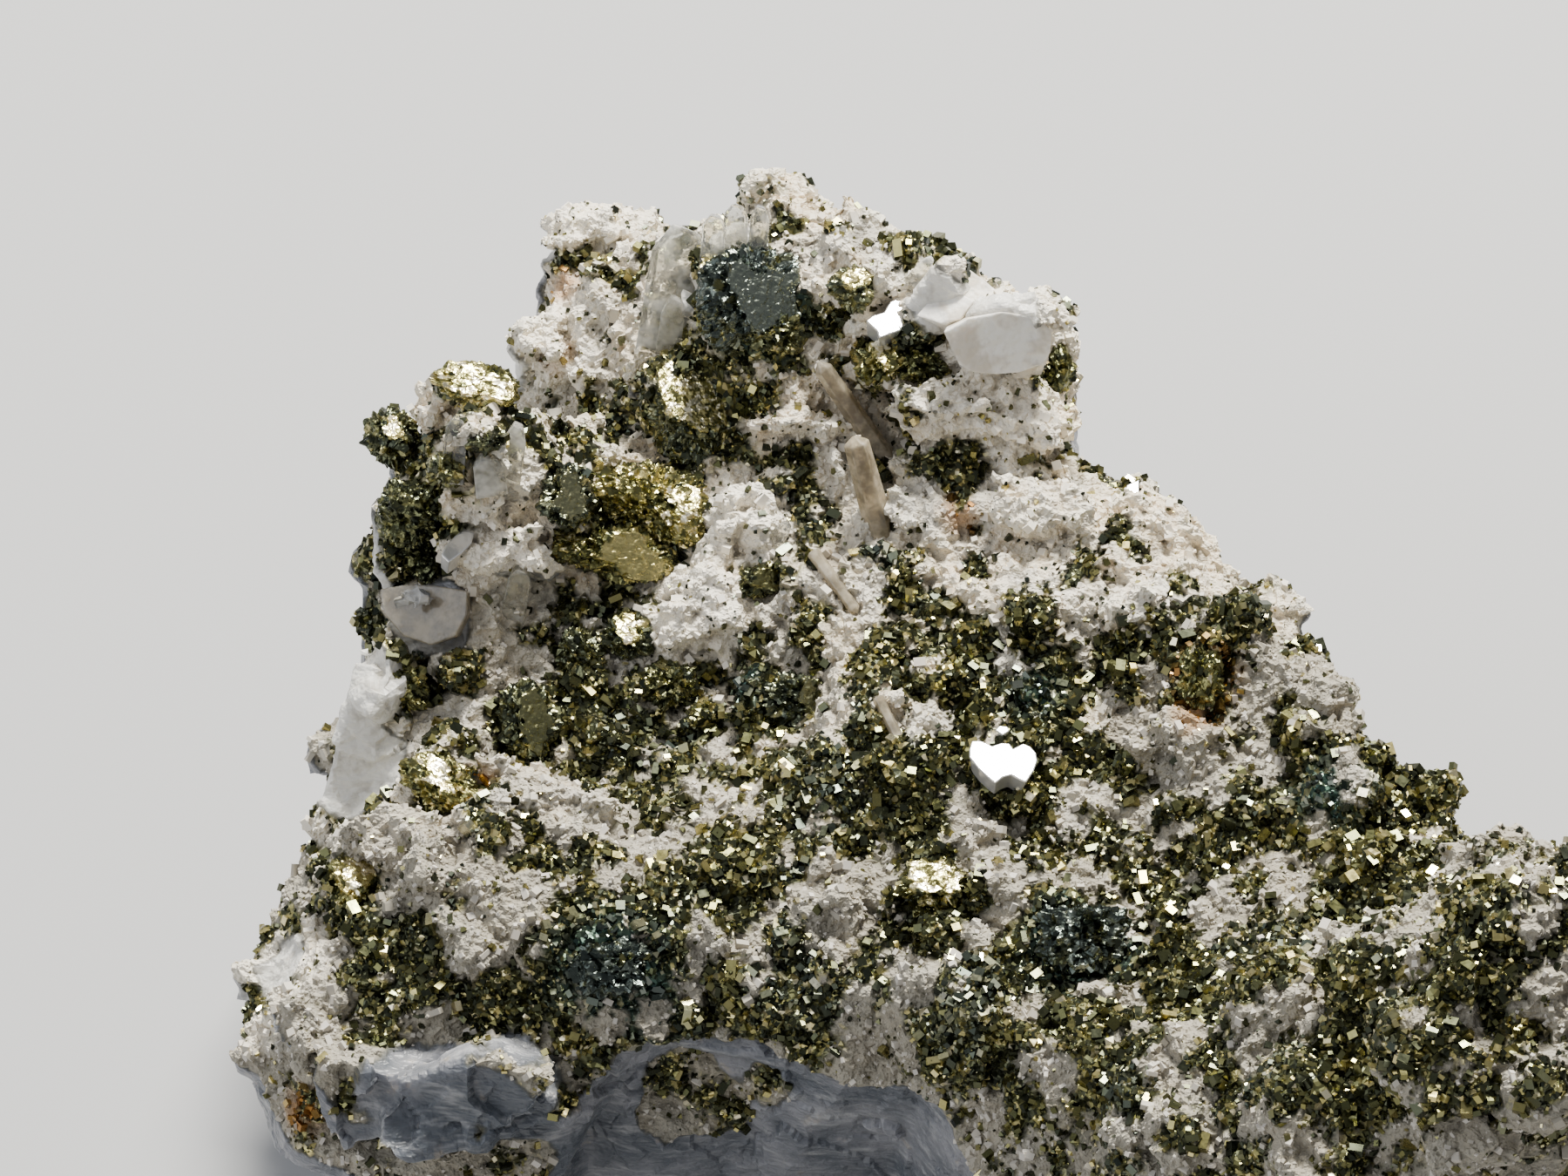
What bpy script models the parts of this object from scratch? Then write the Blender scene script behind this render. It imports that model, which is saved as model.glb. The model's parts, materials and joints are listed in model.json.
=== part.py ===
"""A loose hand piece of calcite with pyrite, in metres, +Z up, origin under its middle.

The chunk rests on a flat cleavage break. Below is massive calcite, broken along its three
cleavage directions. Its top is a druse: chalky calcite lumps, clear calcite tablets and
prisms, and clusters of pyrite crystals. All of it grew together, so it is one closed solid.

Lengths are in millimetres until a mesh is handed to its object. The block is laid out in
plan, x to the right and y away from the front, from the point under the view's centre.
What grows on the druse is laid out as it is seen from the front and above, as
(right, up) from the centre of that view, on the plane through VIEW_CENTRE.
"""

import math
import random

import bmesh
import bpy
from mathutils import Euler, Matrix, Vector, noise
from mathutils.bvhtree import BVHTree

MM = 0.001
NAME = "calcite_with_pyrite"
SEED = 7

# The front view that the druse is laid out in.
VIEW_CENTRE = Vector((-4.9, 4.4, 12.0))
VIEW_ELEVATION = math.radians(50)
VIEW_DISTANCE = 220.0
RIGHT = Vector((1, 0, 0))
UP = Vector((0, math.sin(VIEW_ELEVATION), math.cos(VIEW_ELEVATION)))
TO_EYE = Vector((0, -math.cos(VIEW_ELEVATION), math.sin(VIEW_ELEVATION)))
EYE = VIEW_CENTRE + TO_EYE * VIEW_DISTANCE
VIEW_FRAME = Matrix((RIGHT, UP, TO_EYE)).transposed()

# The block in plan, anticlockwise from its front left tip.
OUTLINE = [
    (-11.2, -12.0),
    (-8.4, -12.7),
    (-5.4, -12.5),
    (-4.6, -11.2),
    (-1.0, -10.9),
    (2.4, -11.7),
    (4.6, -15.0),
    (7.6, -18.2),
    (12.0, -20.8),
    (16.6, -21.6),
    (20.4, -20.2),
    (22.4, -17.0),
    (21.8, -12.8),
    (18.8, -9.8),
    (15.4, -7.6),
    (13.2, -5.2),
    (11.4, -1.8),
    (9.1, 1.3),
    (7.2, 3.4),
    (6.4, 6.2),
    (3.4, 8.2),
    (0.6, 9.2),
    (-1.6, 9.8),
    (-2.8, 11.8),
    (-5.4, 11.6),
    (-6.4, 9.4),
    (-6.0, 6.6),
    (-7.0, 4.6),
    (-9.4, 4.0),
    (-9.8, 1.0),
    (-10.2, -1.8),
    (-11.2, -4.8),
    (-12.5, -8.6),
]
OUTLINE_LOW = [min(values) for values in zip(*OUTLINE)]
OUTLINE_HIGH = [max(values) for values in zip(*OUTLINE)]
BLOCK_TOP = 10.0
BLOCK_BOTTOM = -2.0
CELL = 1.8
LAYER = 3.4
SAME_PLACE = 1e-3
ON_PLANE = 1e-4
SHORTEST_EDGE = 0.05

# The druse's height over the base: a slope, then swells as (x, y, radius, height).
SLOPE_HEIGHT = 12.4
SLOPE_RIGHT = 0.2
SLOPE_BACK = 0.15
SWELLS = [
    (0.2, 7.2, 3.2, 3.6),
    (4.8, 5.4, 2.8, 2.0),
    (-7.4, 2.6, 2.5, 4.2),
    (-4.0, 6.2, 1.7, -2.2),
    (-4.4, 10.4, 2.6, -0.8),
    (-2.2, -3.0, 3.0, -1.4),
    (-5.8, -8.2, 3.4, 0.9),
    (-7.4, -11.6, 2.4, -1.6),
    (11.2, -3.6, 3.4, 0.6),
    (8.0, -7.6, 3.4, -0.8),
    (16.6, -15.2, 4.0, 6.0),
    (14.0, -18.6, 3.8, 4.2),
    (9.4, -15.4, 3.2, 2.4),
    (20.2, -13.4, 2.4, 1.2),
]
EDGE_DROP = 2.0
EDGE_REACH = 0.8
ROUGH_HEIGHT = 0.8
ROUGH_SCALE = 0.45
ROUGH_FALLOFF = 0.5
ROUGH_STEP = 2.0
ROUGH_OCTAVES = 4
CELL_SHIFT = 0.55
CELL_SHIFT_SCALE = 1.1
WALL_ROUGH = 0.8

# Calcite's cleavage: three edge directions, each pair 101.9 degrees apart, two in the base.
CLEAVAGE_ANGLE = math.radians(101.92)
CLEAVAGE_TURN = math.radians(-36)
# Breaks across the walls and the underside: (point on the break, way out).
BREAKS = [
    ((-8.6, -12.0, 5.2), (-0.20, -0.42, -0.88)),
    ((-12.2, -7.0, 6.6), (-0.86, 0.10, -0.50)),
    ((-8.0, 6.5, 6.0), (-0.80, 0.45, -0.40)),
    ((-4.0, 11.6, 7.5), (-0.15, 0.93, -0.33)),
    ((3.4, 8.4, 11.0), (0.50, 0.83, -0.22)),
    ((15.4, -5.9, 10.5), (0.76, 0.61, -0.24)),
    ((22.2, -16.5, 11.5), (0.93, -0.16, -0.33)),
    ((14.0, -21.2, 10.0), (-0.10, -0.93, -0.35)),
]
# Notches where rhombs broke out of the walls: (centre, lengths along the three edges).
NOTCHES = [
    ((15.7, -5.7, 3.0), (8.0, 5.0, 6.4)),
    ((20.4, -11.4, 5.0), (6.0, 5.0, 8.0)),
    ((9.8, 1.7, 3.6), (5.6, 4.6, 8.0)),
    ((3.4, 8.8, 3.6), (7.0, 5.0, 8.0)),
    ((-4.8, 11.4, 3.0), (6.0, 4.4, 5.6)),
    ((-8.4, 7.0, 2.4), (5.0, 5.0, 6.0)),
    ((-12.4, -1.4, 3.4), (5.6, 8.0, 5.6)),
    ((-3.0, -15.2, 1.4), (8.0, 4.6, 5.0)),
    ((4.0, -18.4, 2.6), (7.0, 5.0, 8.0)),
    ((23.2, -19.0, 3.0), (7.0, 6.0, 8.0)),
]

# Pyrite masses: (right, up, half width, half height, half depth).
PYRITE = [
    # the crest of the back ridge
    (-0.1, 8.7, 0.50, 0.45, 0.5),
    (1.2, 8.1, 0.60, 0.50, 0.6),
    (2.6, 7.8, 0.65, 0.50, 0.6),
    (1.5, 6.9, 0.50, 0.42, 0.5),
    # the dark ball below the crest, and the olive crystals under it
    (-0.8, 6.7, 1.20, 1.20, 1.1),
    (-0.3, 5.7, 0.62, 0.42, 0.6),
    (-1.9, 7.2, 0.30, 0.34, 0.4),
    # the tall ball in the middle of the ridge's slope
    (-2.2, 4.1, 0.98, 1.40, 1.0),
    (-1.5, 3.5, 0.50, 0.60, 0.6),
    # the broad brassy mass under it
    (-3.0, 1.9, 1.25, 0.85, 0.9),
    (-3.7, 0.8, 1.20, 0.62, 1.0),
    (-2.3, 2.0, 0.55, 0.55, 0.9),
    # the balls in the gap beside the left knob
    (-5.0, 2.1, 0.58, 0.66, 0.6),
    (-5.2, 3.5, 0.38, 0.38, 0.4),
    (-4.9, 0.9, 0.45, 0.45, 0.5),
    # the left knob
    (-9.0, 3.5, 0.52, 0.62, 0.6),
    (-7.1, 4.6, 0.95, 0.50, 0.8),
    (-8.6, 1.7, 0.75, 0.70, 0.8),
    (-8.7, 0.7, 0.62, 0.60, 0.7),
    (-7.6, 1.1, 0.45, 0.45, 0.5),
    # the far lobe
    (-5.0, 7.4, 0.50, 0.45, 0.5),
    (-4.2, 7.0, 0.45, 0.40, 0.4),
    (-4.4, 4.8, 0.55, 0.75, 0.6),
    # around the pale ledge
    (2.6, 5.1, 1.15, 0.60, 0.8),
    (4.4, 4.6, 0.70, 0.45, 0.6),
    (5.8, 4.3, 0.50, 0.55, 0.6),
    (6.3, 5.2, 0.34, 0.65, 0.5),
    (3.5, 2.7, 1.00, 0.42, 0.6),
    (0.3, 2.6, 0.75, 0.38, 0.5),
    (4.2, 1.7, 0.55, 0.45, 0.5),
    # the middle of the druse
    (-0.6, 0.2, 0.58, 0.45, 0.5),
    (0.6, -1.0, 0.50, 0.50, 0.5),
    (-3.6, -1.0, 0.60, 0.50, 0.6),
    (-4.4, -1.5, 0.60, 0.70, 0.6),
    (-2.6, -2.2, 0.65, 0.55, 0.6),
    (-0.4, -2.5, 0.75, 0.60, 0.6),
    (2.3, -1.6, 0.70, 0.55, 0.6),
    (1.0, -4.2, 0.55, 0.60, 0.6),
    (2.9, -4.4, 0.90, 1.00, 0.8),
    (5.0, -4.0, 0.90, 0.62, 0.7),
    (4.2, -2.2, 0.50, 0.50, 0.5),
    (5.8, -2.4, 0.55, 0.50, 0.5),
    (3.5, -6.8, 0.85, 0.60, 0.7),
    # the left side
    (-8.8, -2.3, 0.68, 0.55, 0.6),
    (-7.4, -1.9, 0.50, 0.45, 0.5),
    (-5.9, -3.1, 0.62, 0.92, 0.7),
    (-7.8, -4.6, 1.00, 0.70, 0.8),
    (-6.9, -5.4, 0.60, 0.50, 0.6),
    (-4.2, -3.6, 0.60, 0.60, 0.6),
    (-9.9, -6.8, 0.68, 0.70, 0.7),
    (-9.4, -7.9, 0.70, 0.55, 0.6),
    (-4.0, -8.7, 0.90, 0.75, 0.6),
    (-1.0, -6.6, 0.65, 0.50, 0.5),
    # the right side
    (8.1, 2.2, 0.40, 0.42, 0.4),
    (7.9, 1.0, 0.60, 0.60, 0.5),
    (8.2, -0.6, 0.70, 0.62, 0.6),
    (10.4, -0.9, 0.70, 0.60, 0.6),
    (9.6, -2.2, 0.62, 0.80, 0.6),
    (7.0, -3.6, 0.60, 0.60, 0.5),
    (12.2, -3.7, 0.80, 0.65, 0.6),
    (10.4, -5.2, 0.90, 0.80, 0.7),
    (6.8, -8.1, 1.00, 0.80, 0.7),
    (14.6, -4.9, 0.80, 0.60, 0.6),
    (13.6, -6.6, 1.10, 0.80, 0.8),
    (11.6, -9.6, 1.30, 1.00, 1.0),
    (15.4, -10.8, 1.50, 1.30, 1.2),
]
# Chalky calcite lumps, in the same terms.
CHALK = [
    (-2.3, -0.65, 1.25, 0.92, 0.9),
    (-3.1, -0.5, 0.50, 0.38, 0.5),
    (-1.0, 1.6, 0.95, 0.66, 0.8),
    (-1.5, 0.6, 0.52, 0.55, 0.6),
    (-6.4, 0.8, 1.05, 0.75, 0.9),
    (-8.1, 4.1, 0.40, 0.52, 0.5),
    (0.7, 3.6, 1.15, 0.50, 0.8),
    (1.9, 2.6, 0.45, 0.70, 0.6),
    (-0.4, -0.5, 0.40, 0.34, 0.4),
    (4.6, 3.9, 2.10, 0.70, 1.1),
    (6.2, 6.2, 0.45, 0.42, 0.5),
    (3.2, 1.6, 0.80, 0.62, 0.6),
    (-0.2, 9.1, 0.90, 0.50, 0.8),
    (2.0, 6.0, 0.90, 0.40, 0.6),
    (-4.3, 8.3, 1.30, 0.60, 1.0),
    (-5.3, 5.2, 0.70, 0.90, 0.7),
    (5.9, 1.6, 1.00, 0.90, 0.7),
    (11.2, -0.5, 0.62, 0.52, 0.8),
    (12.4, -2.5, 0.80, 0.60, 0.7),
    (8.9, 1.4, 0.60, 0.70, 0.6),
    (9.4, -3.6, 1.00, 0.70, 0.7),
    (1.2, -7.4, 0.80, 0.60, 0.6),
    (-5.4, -4.8, 0.70, 0.50, 0.5),
    (-8.2, -6.0, 1.60, 0.50, 0.6),
    (-10.9, -10.2, 0.55, 1.10, 0.7),
    (-6.8, -8.4, 0.80, 0.60, 0.6),
    (12.6, -12.0, 1.50, 1.10, 1.2),
    (16.8, -7.4, 1.40, 1.00, 1.2),
]
# Lumps over the knob at the front right, laid out in plan: (x, y, radius).
KNOB_LUMPS = [
    (18.6, -12.6, 1.5),
    (15.6, -12.4, 1.2),
    (19.4, -16.0, 1.6),
    (16.4, -18.6, 1.7),
    (13.0, -15.6, 1.5),
    (11.6, -18.4, 1.3),
    (18.4, -18.2, 1.3),
    (9.0, -16.6, 1.2),
    (20.0, -14.0, 1.0),
    (14.6, -19.4, 1.1),
]
# Clear calcite tablets: (root right, root up, tip right, tip up, lean to the eye, width, thick).
TABLETS = [
    (-2.75, 5.3, -2.3, 8.45, 0.9, 1.45, 0.9),
    (-2.7, 5.2, -2.5, 6.7, 1.1, 0.60, 0.5),
    (4.9, 5.0, 5.2, 6.7, 1.2, 2.00, 0.9),
    (3.1, 6.2, 4.1, 7.5, 0.8, 0.80, 0.5),
    (5.4, 5.8, 6.0, 6.9, 0.9, 0.70, 0.6),
    (-6.3, 2.5, -6.1, 3.8, 0.9, 0.55, 0.4),
    (-7.2, 2.2, -7.0, 3.9, 1.3, 1.50, 1.0),
    (-8.4, -1.4, -8.2, 0.1, 0.9, 1.80, 0.7),
    (-6.2, -0.5, -6.0, 0.5, 0.7, 0.60, 0.4),
    (-9.8, -4.6, -8.9, -1.2, 0.4, 1.50, 1.2),
    (-6.0, -11.6, -9.4, -12.6, 0.6, 1.60, 1.0),
]
# Slim calcite prisms: (root right, root up, tip right, tip up, lean to the eye, width).
PRISMS = [
    (2.1, 3.3, 0.75, 5.2, 0.9, 0.46),
    (2.1, 1.7, 1.6, 3.5, 0.8, 0.52),
    (-7.7, 2.4, -7.6, 2.9, 0.5, 0.22),
    (0.1, 0.3, 0.3, -0.9, 0.4, 0.30),
    (2.4, -3.0, 3.2, -4.6, 0.6, 0.30),
]

# Small crystals over the rest of the druse: how many, and their half sizes.
SMALL_COUNT = 82
SMALL_SMALLEST = 0.32
SMALL_LARGEST = 0.75
SMALL_SPREAD = 0.2
SMALL_PYRITE_SHARE = 0.55
SMALL_CUBE = 1.5
STEEPEST = 0.3
ABOVE_ALL = 40.0

# The unit forms of what grows, and the share of its depth that each is sunk by.
PYRITOHEDRON_SLANT = 0.5
PYRITOHEDRON_CORNER = 0.75
LUMP_ROUGHNESS = 0.45
LUMP_NOISE = 1.7
NOISE_REACH = 50.0
PYRITE_SINK = 0.40
CHALK_SINK = 0.50
SMALL_SINK = 0.45
KNOB_LUMP_HEIGHT = 0.7
# A tablet's front, as shares of its half width and its length, and its smaller back.
TABLET_ROOT = 0.3
TABLET_FRONT = [
    (-1.0, -TABLET_ROOT),
    (1.0, -TABLET_ROOT),
    (1.0, 0.72),
    (0.62, 0.95),
    (-0.30, 1.0),
    (-0.86, 0.80),
]
TABLET_BACK_WIDTH = 0.8
TABLET_BACK_LENGTH = 0.94
PRISM_SIDES = 6
PRISM_ROOT = 0.3
PRISM_SHOULDER = 0.9
PRISM_TAPER = 0.85

# How far a line of sight past the edge is drawn in, by steps, to find the edge's depth.
SIGHT_STEP = 0.01
SIGHT_LEAST = 0.5

CALCITE_COLOUR = (0.46, 0.43, 0.36, 1)
CALCITE_ROUGHNESS = 0.6


def cleavage_edges():
    """The rhomb's three edge directions: two level, and one rising from the base."""
    cos_angle = math.cos(CLEAVAGE_ANGLE)
    sin_angle = math.sin(CLEAVAGE_ANGLE)
    second_across = (cos_angle - cos_angle**2) / sin_angle
    rise = math.sqrt(1 - cos_angle**2 - second_across**2)
    turn = Matrix.Rotation(CLEAVAGE_TURN, 3, "Z")
    return [
        turn @ Vector((1, 0, 0)),
        turn @ Vector((cos_angle, sin_angle, 0)),
        turn @ Vector((cos_angle, second_across, rise)),
    ]


def distance_to_outline(x, y):
    point = Vector((x, y))
    nearest = math.inf
    for start, end in zip(OUTLINE, OUTLINE[1:] + OUTLINE[:1]):
        start, end = Vector(start), Vector(end)
        along = end - start
        share = (point - start).dot(along) / along.length_squared
        foot = start + along * max(0.0, min(1.0, share))
        nearest = min(nearest, (point - foot).length)
    return nearest


def relief(x, y):
    """The height of the bare druse over the base, at a point of the plan."""
    height = SLOPE_HEIGHT + SLOPE_RIGHT * x + SLOPE_BACK * y
    for centre_x, centre_y, radius, swell in SWELLS:
        away = math.hypot(x - centre_x, y - centre_y) / radius
        height += swell * math.exp(-(away**3))
    height -= EDGE_DROP * math.exp(-distance_to_outline(x, y) / EDGE_REACH)
    place = Vector((x, y, 0)) * ROUGH_SCALE
    return height + ROUGH_HEIGHT * noise.fractal(
        place, ROUGH_FALLOFF, ROUGH_STEP, ROUGH_OCTAVES
    )


def raise_vertex(vertex):
    """Stretches the block up to the relief, and unsettles its cells and its walls."""
    x, y, z = vertex.co
    on_wall = distance_to_outline(x, y) < SAME_PLACE
    if z > 0:
        vertex.co.z = relief(x, y) * z / BLOCK_TOP
    if on_wall:
        push = noise.noise_vector(vertex.co * ROUGH_SCALE) * WALL_ROUGH
    else:
        push = noise.noise_vector(vertex.co * CELL_SHIFT_SCALE) * CELL_SHIFT
    vertex.co.x += push.x
    vertex.co.y += push.y


def outline_slab():
    """The outline as a flat-topped slab, before it is sliced and raised."""
    curve = bpy.data.curves.new("block_outline", "CURVE")
    curve.dimensions = "2D"
    curve.fill_mode = "BOTH"
    curve.extrude = (BLOCK_TOP - BLOCK_BOTTOM) / 2
    spline = curve.splines.new("POLY")
    spline.points.add(len(OUTLINE) - 1)
    spline.use_cyclic_u = True
    for point, (x, y) in zip(spline.points, OUTLINE):
        point.co = (x, y, 0, 1)
    guide = bpy.data.objects.new("block_outline", curve)
    bpy.context.scene.collection.objects.link(guide)
    graph = bpy.context.evaluated_depsgraph_get()
    drawn = bpy.data.meshes.new_from_object(guide.evaluated_get(graph))
    bpy.data.objects.remove(guide)
    slab = bmesh.new()
    slab.from_mesh(drawn)
    bpy.data.meshes.remove(drawn)
    lift = (BLOCK_TOP + BLOCK_BOTTOM) / 2
    bmesh.ops.translate(slab, verts=slab.verts, vec=(0, 0, lift))
    bmesh.ops.remove_doubles(slab, verts=slab.verts, dist=SAME_PLACE)
    bmesh.ops.dissolve_limit(
        slab, angle_limit=math.radians(1), verts=slab.verts, edges=slab.edges
    )
    return slab


def slice_along(mesh, axis, low, high, step):
    """Cuts the mesh into slices across an axis."""
    for count in range(1, math.ceil((high - low) / step)):
        bmesh.ops.bisect_plane(
            mesh,
            geom=mesh.verts[:] + mesh.edges[:] + mesh.faces[:],
            dist=ON_PLANE,
            plane_co=axis * (low + step * count),
            plane_no=axis,
        )


def break_off(mesh, point, way_out):
    """Takes off what lies beyond a plane, and closes the cut."""
    cut = bmesh.ops.bisect_plane(
        mesh,
        geom=mesh.verts[:] + mesh.edges[:] + mesh.faces[:],
        dist=ON_PLANE,
        plane_co=point,
        plane_no=Vector(way_out).normalized(),
        clear_outer=True,
    )
    rim = [item for item in cut["geom_cut"] if isinstance(item, bmesh.types.BMEdge)]
    bmesh.ops.contextual_create(mesh, geom=rim)


def block():
    """The chunk without its crystals: the slab sliced, raised to the relief and broken."""
    mesh = outline_slab()
    slice_along(mesh, Vector((1, 0, 0)), OUTLINE_LOW[0], OUTLINE_HIGH[0], CELL)
    slice_along(mesh, Vector((0, 1, 0)), OUTLINE_LOW[1], OUTLINE_HIGH[1], CELL)
    slice_along(mesh, Vector((0, 0, 1)), 0, BLOCK_TOP, LAYER)
    for vertex in mesh.verts:
        raise_vertex(vertex)
    for point, way_out in BREAKS:
        break_off(mesh, point, way_out)
    bmesh.ops.dissolve_degenerate(mesh, dist=SHORTEST_EDGE, edges=mesh.edges)
    break_off(mesh, (0, 0, 0), (0, 0, -1))
    under_view = Vector((VIEW_CENTRE.x, VIEW_CENTRE.y, 0))
    bmesh.ops.translate(mesh, verts=mesh.verts, vec=under_view)
    return mesh


def notch(centre, lengths):
    """A rhomb of calcite that broke out of a wall."""
    edges = [edge * length for edge, length in zip(cleavage_edges(), lengths)]
    place = Matrix(edges).transposed().to_4x4()
    place.translation = Vector(centre) + Vector((VIEW_CENTRE.x, VIEW_CENTRE.y, 0))
    mesh = bmesh.new()
    bmesh.ops.create_cube(mesh, size=1, matrix=place)
    return mesh


def hull(points):
    """The closed convex solid around some points."""
    mesh = bmesh.new()
    for point in points:
        mesh.verts.new(point)
    made = bmesh.ops.convex_hull(mesh, input=mesh.verts)
    inside = [item for item in made["geom_interior"] if item.is_valid]
    bmesh.ops.delete(mesh, geom=inside, context="VERTS")
    return mesh


def pyritohedron():
    """Pyrite's own form: twelve pentagons, and the eight corners of a cube."""
    corners = [(x, y, z) for x in (-1, 1) for y in (-1, 1) for z in (-1, 1)]
    long_end = 1 + PYRITOHEDRON_SLANT
    short_end = 1 - PYRITOHEDRON_SLANT**2
    for first in (-long_end, long_end):
        for second in (-short_end, short_end):
            corners += [(0, first, second), (first, second, 0), (second, 0, first)]
    return hull([Vector(corner) * PYRITOHEDRON_CORNER for corner in corners])


def chalk_lump(rng):
    """A rounded, uneven lump, one unit in radius."""
    mesh = bmesh.new()
    bmesh.ops.create_icosphere(mesh, subdivisions=2, radius=1)
    offset = Vector([rng.uniform(-NOISE_REACH, NOISE_REACH) for _ in range(3)])
    for vertex in mesh.verts:
        place = vertex.co * LUMP_NOISE + offset
        vertex.co *= 1 + LUMP_ROUGHNESS * noise.noise(place)
    return mesh


def seen(tree, right, up):
    """Where the line of sight through a point of the view meets the block.

    Past the block's edge it is the same line, at the depth of the edge beside it.
    """
    def sight(across, above):
        return (VIEW_CENTRE + RIGHT * across + UP * above - EYE).normalized()

    share = 1.0
    while share > SIGHT_LEAST:
        hit = tree.ray_cast(EYE, sight(right * share, up * share))
        if hit[0]:
            return EYE + sight(right, up) * hit[3]
        share -= SIGHT_STEP
    raise ValueError(f"nothing of the block is seen at {right}, {up}")


def below(tree, x, y):
    """The druse's point and facing at a place of the plan, or None."""
    top = Vector((x + VIEW_CENTRE.x, y + VIEW_CENTRE.y, ABOVE_ALL))
    return tree.ray_cast(top, Vector((0, 0, -1)))[:2]


def grown(mesh, place, halves, turn, sink, frame=VIEW_FRAME):
    """Stands a unit solid on the druse, turned, then stretched to its half sizes.

    Its third half size points out of the druse, and it is sunk by a share of that.
    """
    matrix = (frame @ Matrix.Diagonal(halves) @ turn).to_4x4()
    matrix.translation = place - frame.col[2] * (halves[2] * sink)
    bmesh.ops.transform(mesh, matrix=matrix, verts=mesh.verts)
    return mesh


def any_turn(rng):
    return Euler([rng.uniform(0, math.tau) for _ in range(3)]).to_matrix()


def root_and_axes(tree, root, tip, lean):
    """A crystal's root on the druse, its length, and its frame: side, along, face."""
    start = seen(tree, *root)
    along = RIGHT * (tip[0] - root[0]) + UP * (tip[1] - root[1]) + TO_EYE * lean
    way = along.normalized()
    side = way.cross(TO_EYE).normalized()
    frame = Matrix((side, way, side.cross(way))).transposed().to_4x4()
    frame.translation = start
    return frame, along.length


def tablet(tree, root_right, root_up, tip_right, tip_up, lean, width, thick):
    """A flat calcite crystal with a rounded top, narrower behind."""
    frame, length = root_and_axes(
        tree, (root_right, root_up), (tip_right, tip_up), lean
    )
    front = [(x * width / 2, y * length, thick / 2) for x, y in TABLET_FRONT]
    back = [
        (x * TABLET_BACK_WIDTH, y * TABLET_BACK_LENGTH, -thick / 2)
        for x, y, _ in front
    ]
    return hull([frame @ Vector(point) for point in front + back])


def prism(tree, root_right, root_up, tip_right, tip_up, lean, width):
    """A slim six-sided calcite crystal with a blunt point."""
    frame, length = root_and_axes(
        tree, (root_right, root_up), (tip_right, tip_up), lean
    )
    points = []
    for side in range(PRISM_SIDES):
        angle = math.tau * side / PRISM_SIDES
        x, z = width / 2 * math.cos(angle), width / 2 * math.sin(angle)
        points.append((x, -PRISM_ROOT * length, z))
        points.append((x * PRISM_TAPER, PRISM_SHOULDER * length, z * PRISM_TAPER))
    points.append((0, length, 0))
    return hull([frame @ Vector(point) for point in points])


def small_crystals(tree, rng):
    """Small pyrite cubes and chalk nodules over the rest of the druse."""
    made = []
    while len(made) < SMALL_COUNT:
        x = rng.uniform(OUTLINE_LOW[0], OUTLINE_HIGH[0])
        y = rng.uniform(OUTLINE_LOW[1], OUTLINE_HIGH[1])
        place, facing = below(tree, x, y)
        if place is None or facing.z < STEEPEST:
            continue
        mesh = bmesh.new()
        if rng.random() < SMALL_PYRITE_SHARE:
            bmesh.ops.create_cube(mesh, size=SMALL_CUBE)
        else:
            bmesh.ops.create_icosphere(mesh, subdivisions=1, radius=1)
        size = rng.uniform(SMALL_SMALLEST, SMALL_LARGEST)
        halves = [
            size * rng.uniform(1 - SMALL_SPREAD, 1 + SMALL_SPREAD) for _ in range(3)
        ]
        made.append(grown(mesh, place, halves, any_turn(rng), SMALL_SINK))
    return made


def everything_grown(tree):
    """All that stands on the druse, one closed mesh each."""
    rng = random.Random(SEED)
    made = []
    for right, up, *halves in PYRITE:
        place = seen(tree, right, up)
        made.append(grown(pyritohedron(), place, halves, any_turn(rng), PYRITE_SINK))
    for right, up, *halves in CHALK:
        place = seen(tree, right, up)
        made.append(grown(chalk_lump(rng), place, halves, any_turn(rng), CHALK_SINK))
    upright = Matrix.Identity(3)
    for x, y, radius in KNOB_LUMPS:
        place, _ = below(tree, x, y)
        halves = (radius, radius, radius * KNOB_LUMP_HEIGHT)
        lump = chalk_lump(rng)
        made.append(grown(lump, place, halves, any_turn(rng), CHALK_SINK, upright))
    made += [tablet(tree, *sizes) for sizes in TABLETS]
    made += [prism(tree, *sizes) for sizes in PRISMS]
    return made + small_crystals(tree, rng)


def add_object(name, mesh, collection):
    """Hands a mesh in millimetres to a new object in metres."""
    data = bpy.data.meshes.new(name)
    bmesh.ops.recalc_face_normals(mesh, faces=mesh.faces)
    mesh.to_mesh(data)
    mesh.free()
    data.transform(Matrix.Scale(MM, 4))
    made = bpy.data.objects.new(name, data)
    collection.objects.link(made)
    return made


def add_collection(name):
    made = bpy.data.collections.new(name)
    bpy.context.scene.collection.children.link(made)
    return made


def add_operand(name, mesh, collection):
    """A shape that is only used to cut or to join."""
    made = add_object(name, mesh, collection)
    made.hide_render = True
    made.display_type = "WIRE"


def add_boolean(target, name, operation, collection):
    boolean = target.modifiers.new(name, "BOOLEAN")
    boolean.operation = operation
    boolean.operand_type = "COLLECTION"
    boolean.collection = collection
    boolean.solver = "EXACT"


def druse_material():
    """Pale calcite, which the scene gives its chalk, clear and pyrite finishes."""
    made = bpy.data.materials.new("calcite")
    made.use_nodes = True
    shader = made.node_tree.nodes["Principled BSDF"]
    shader.inputs["Base Color"].default_value = CALCITE_COLOUR
    shader.inputs["Roughness"].default_value = CALCITE_ROUGHNESS
    shader.inputs["Metallic"].default_value = 0.0
    return made


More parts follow.
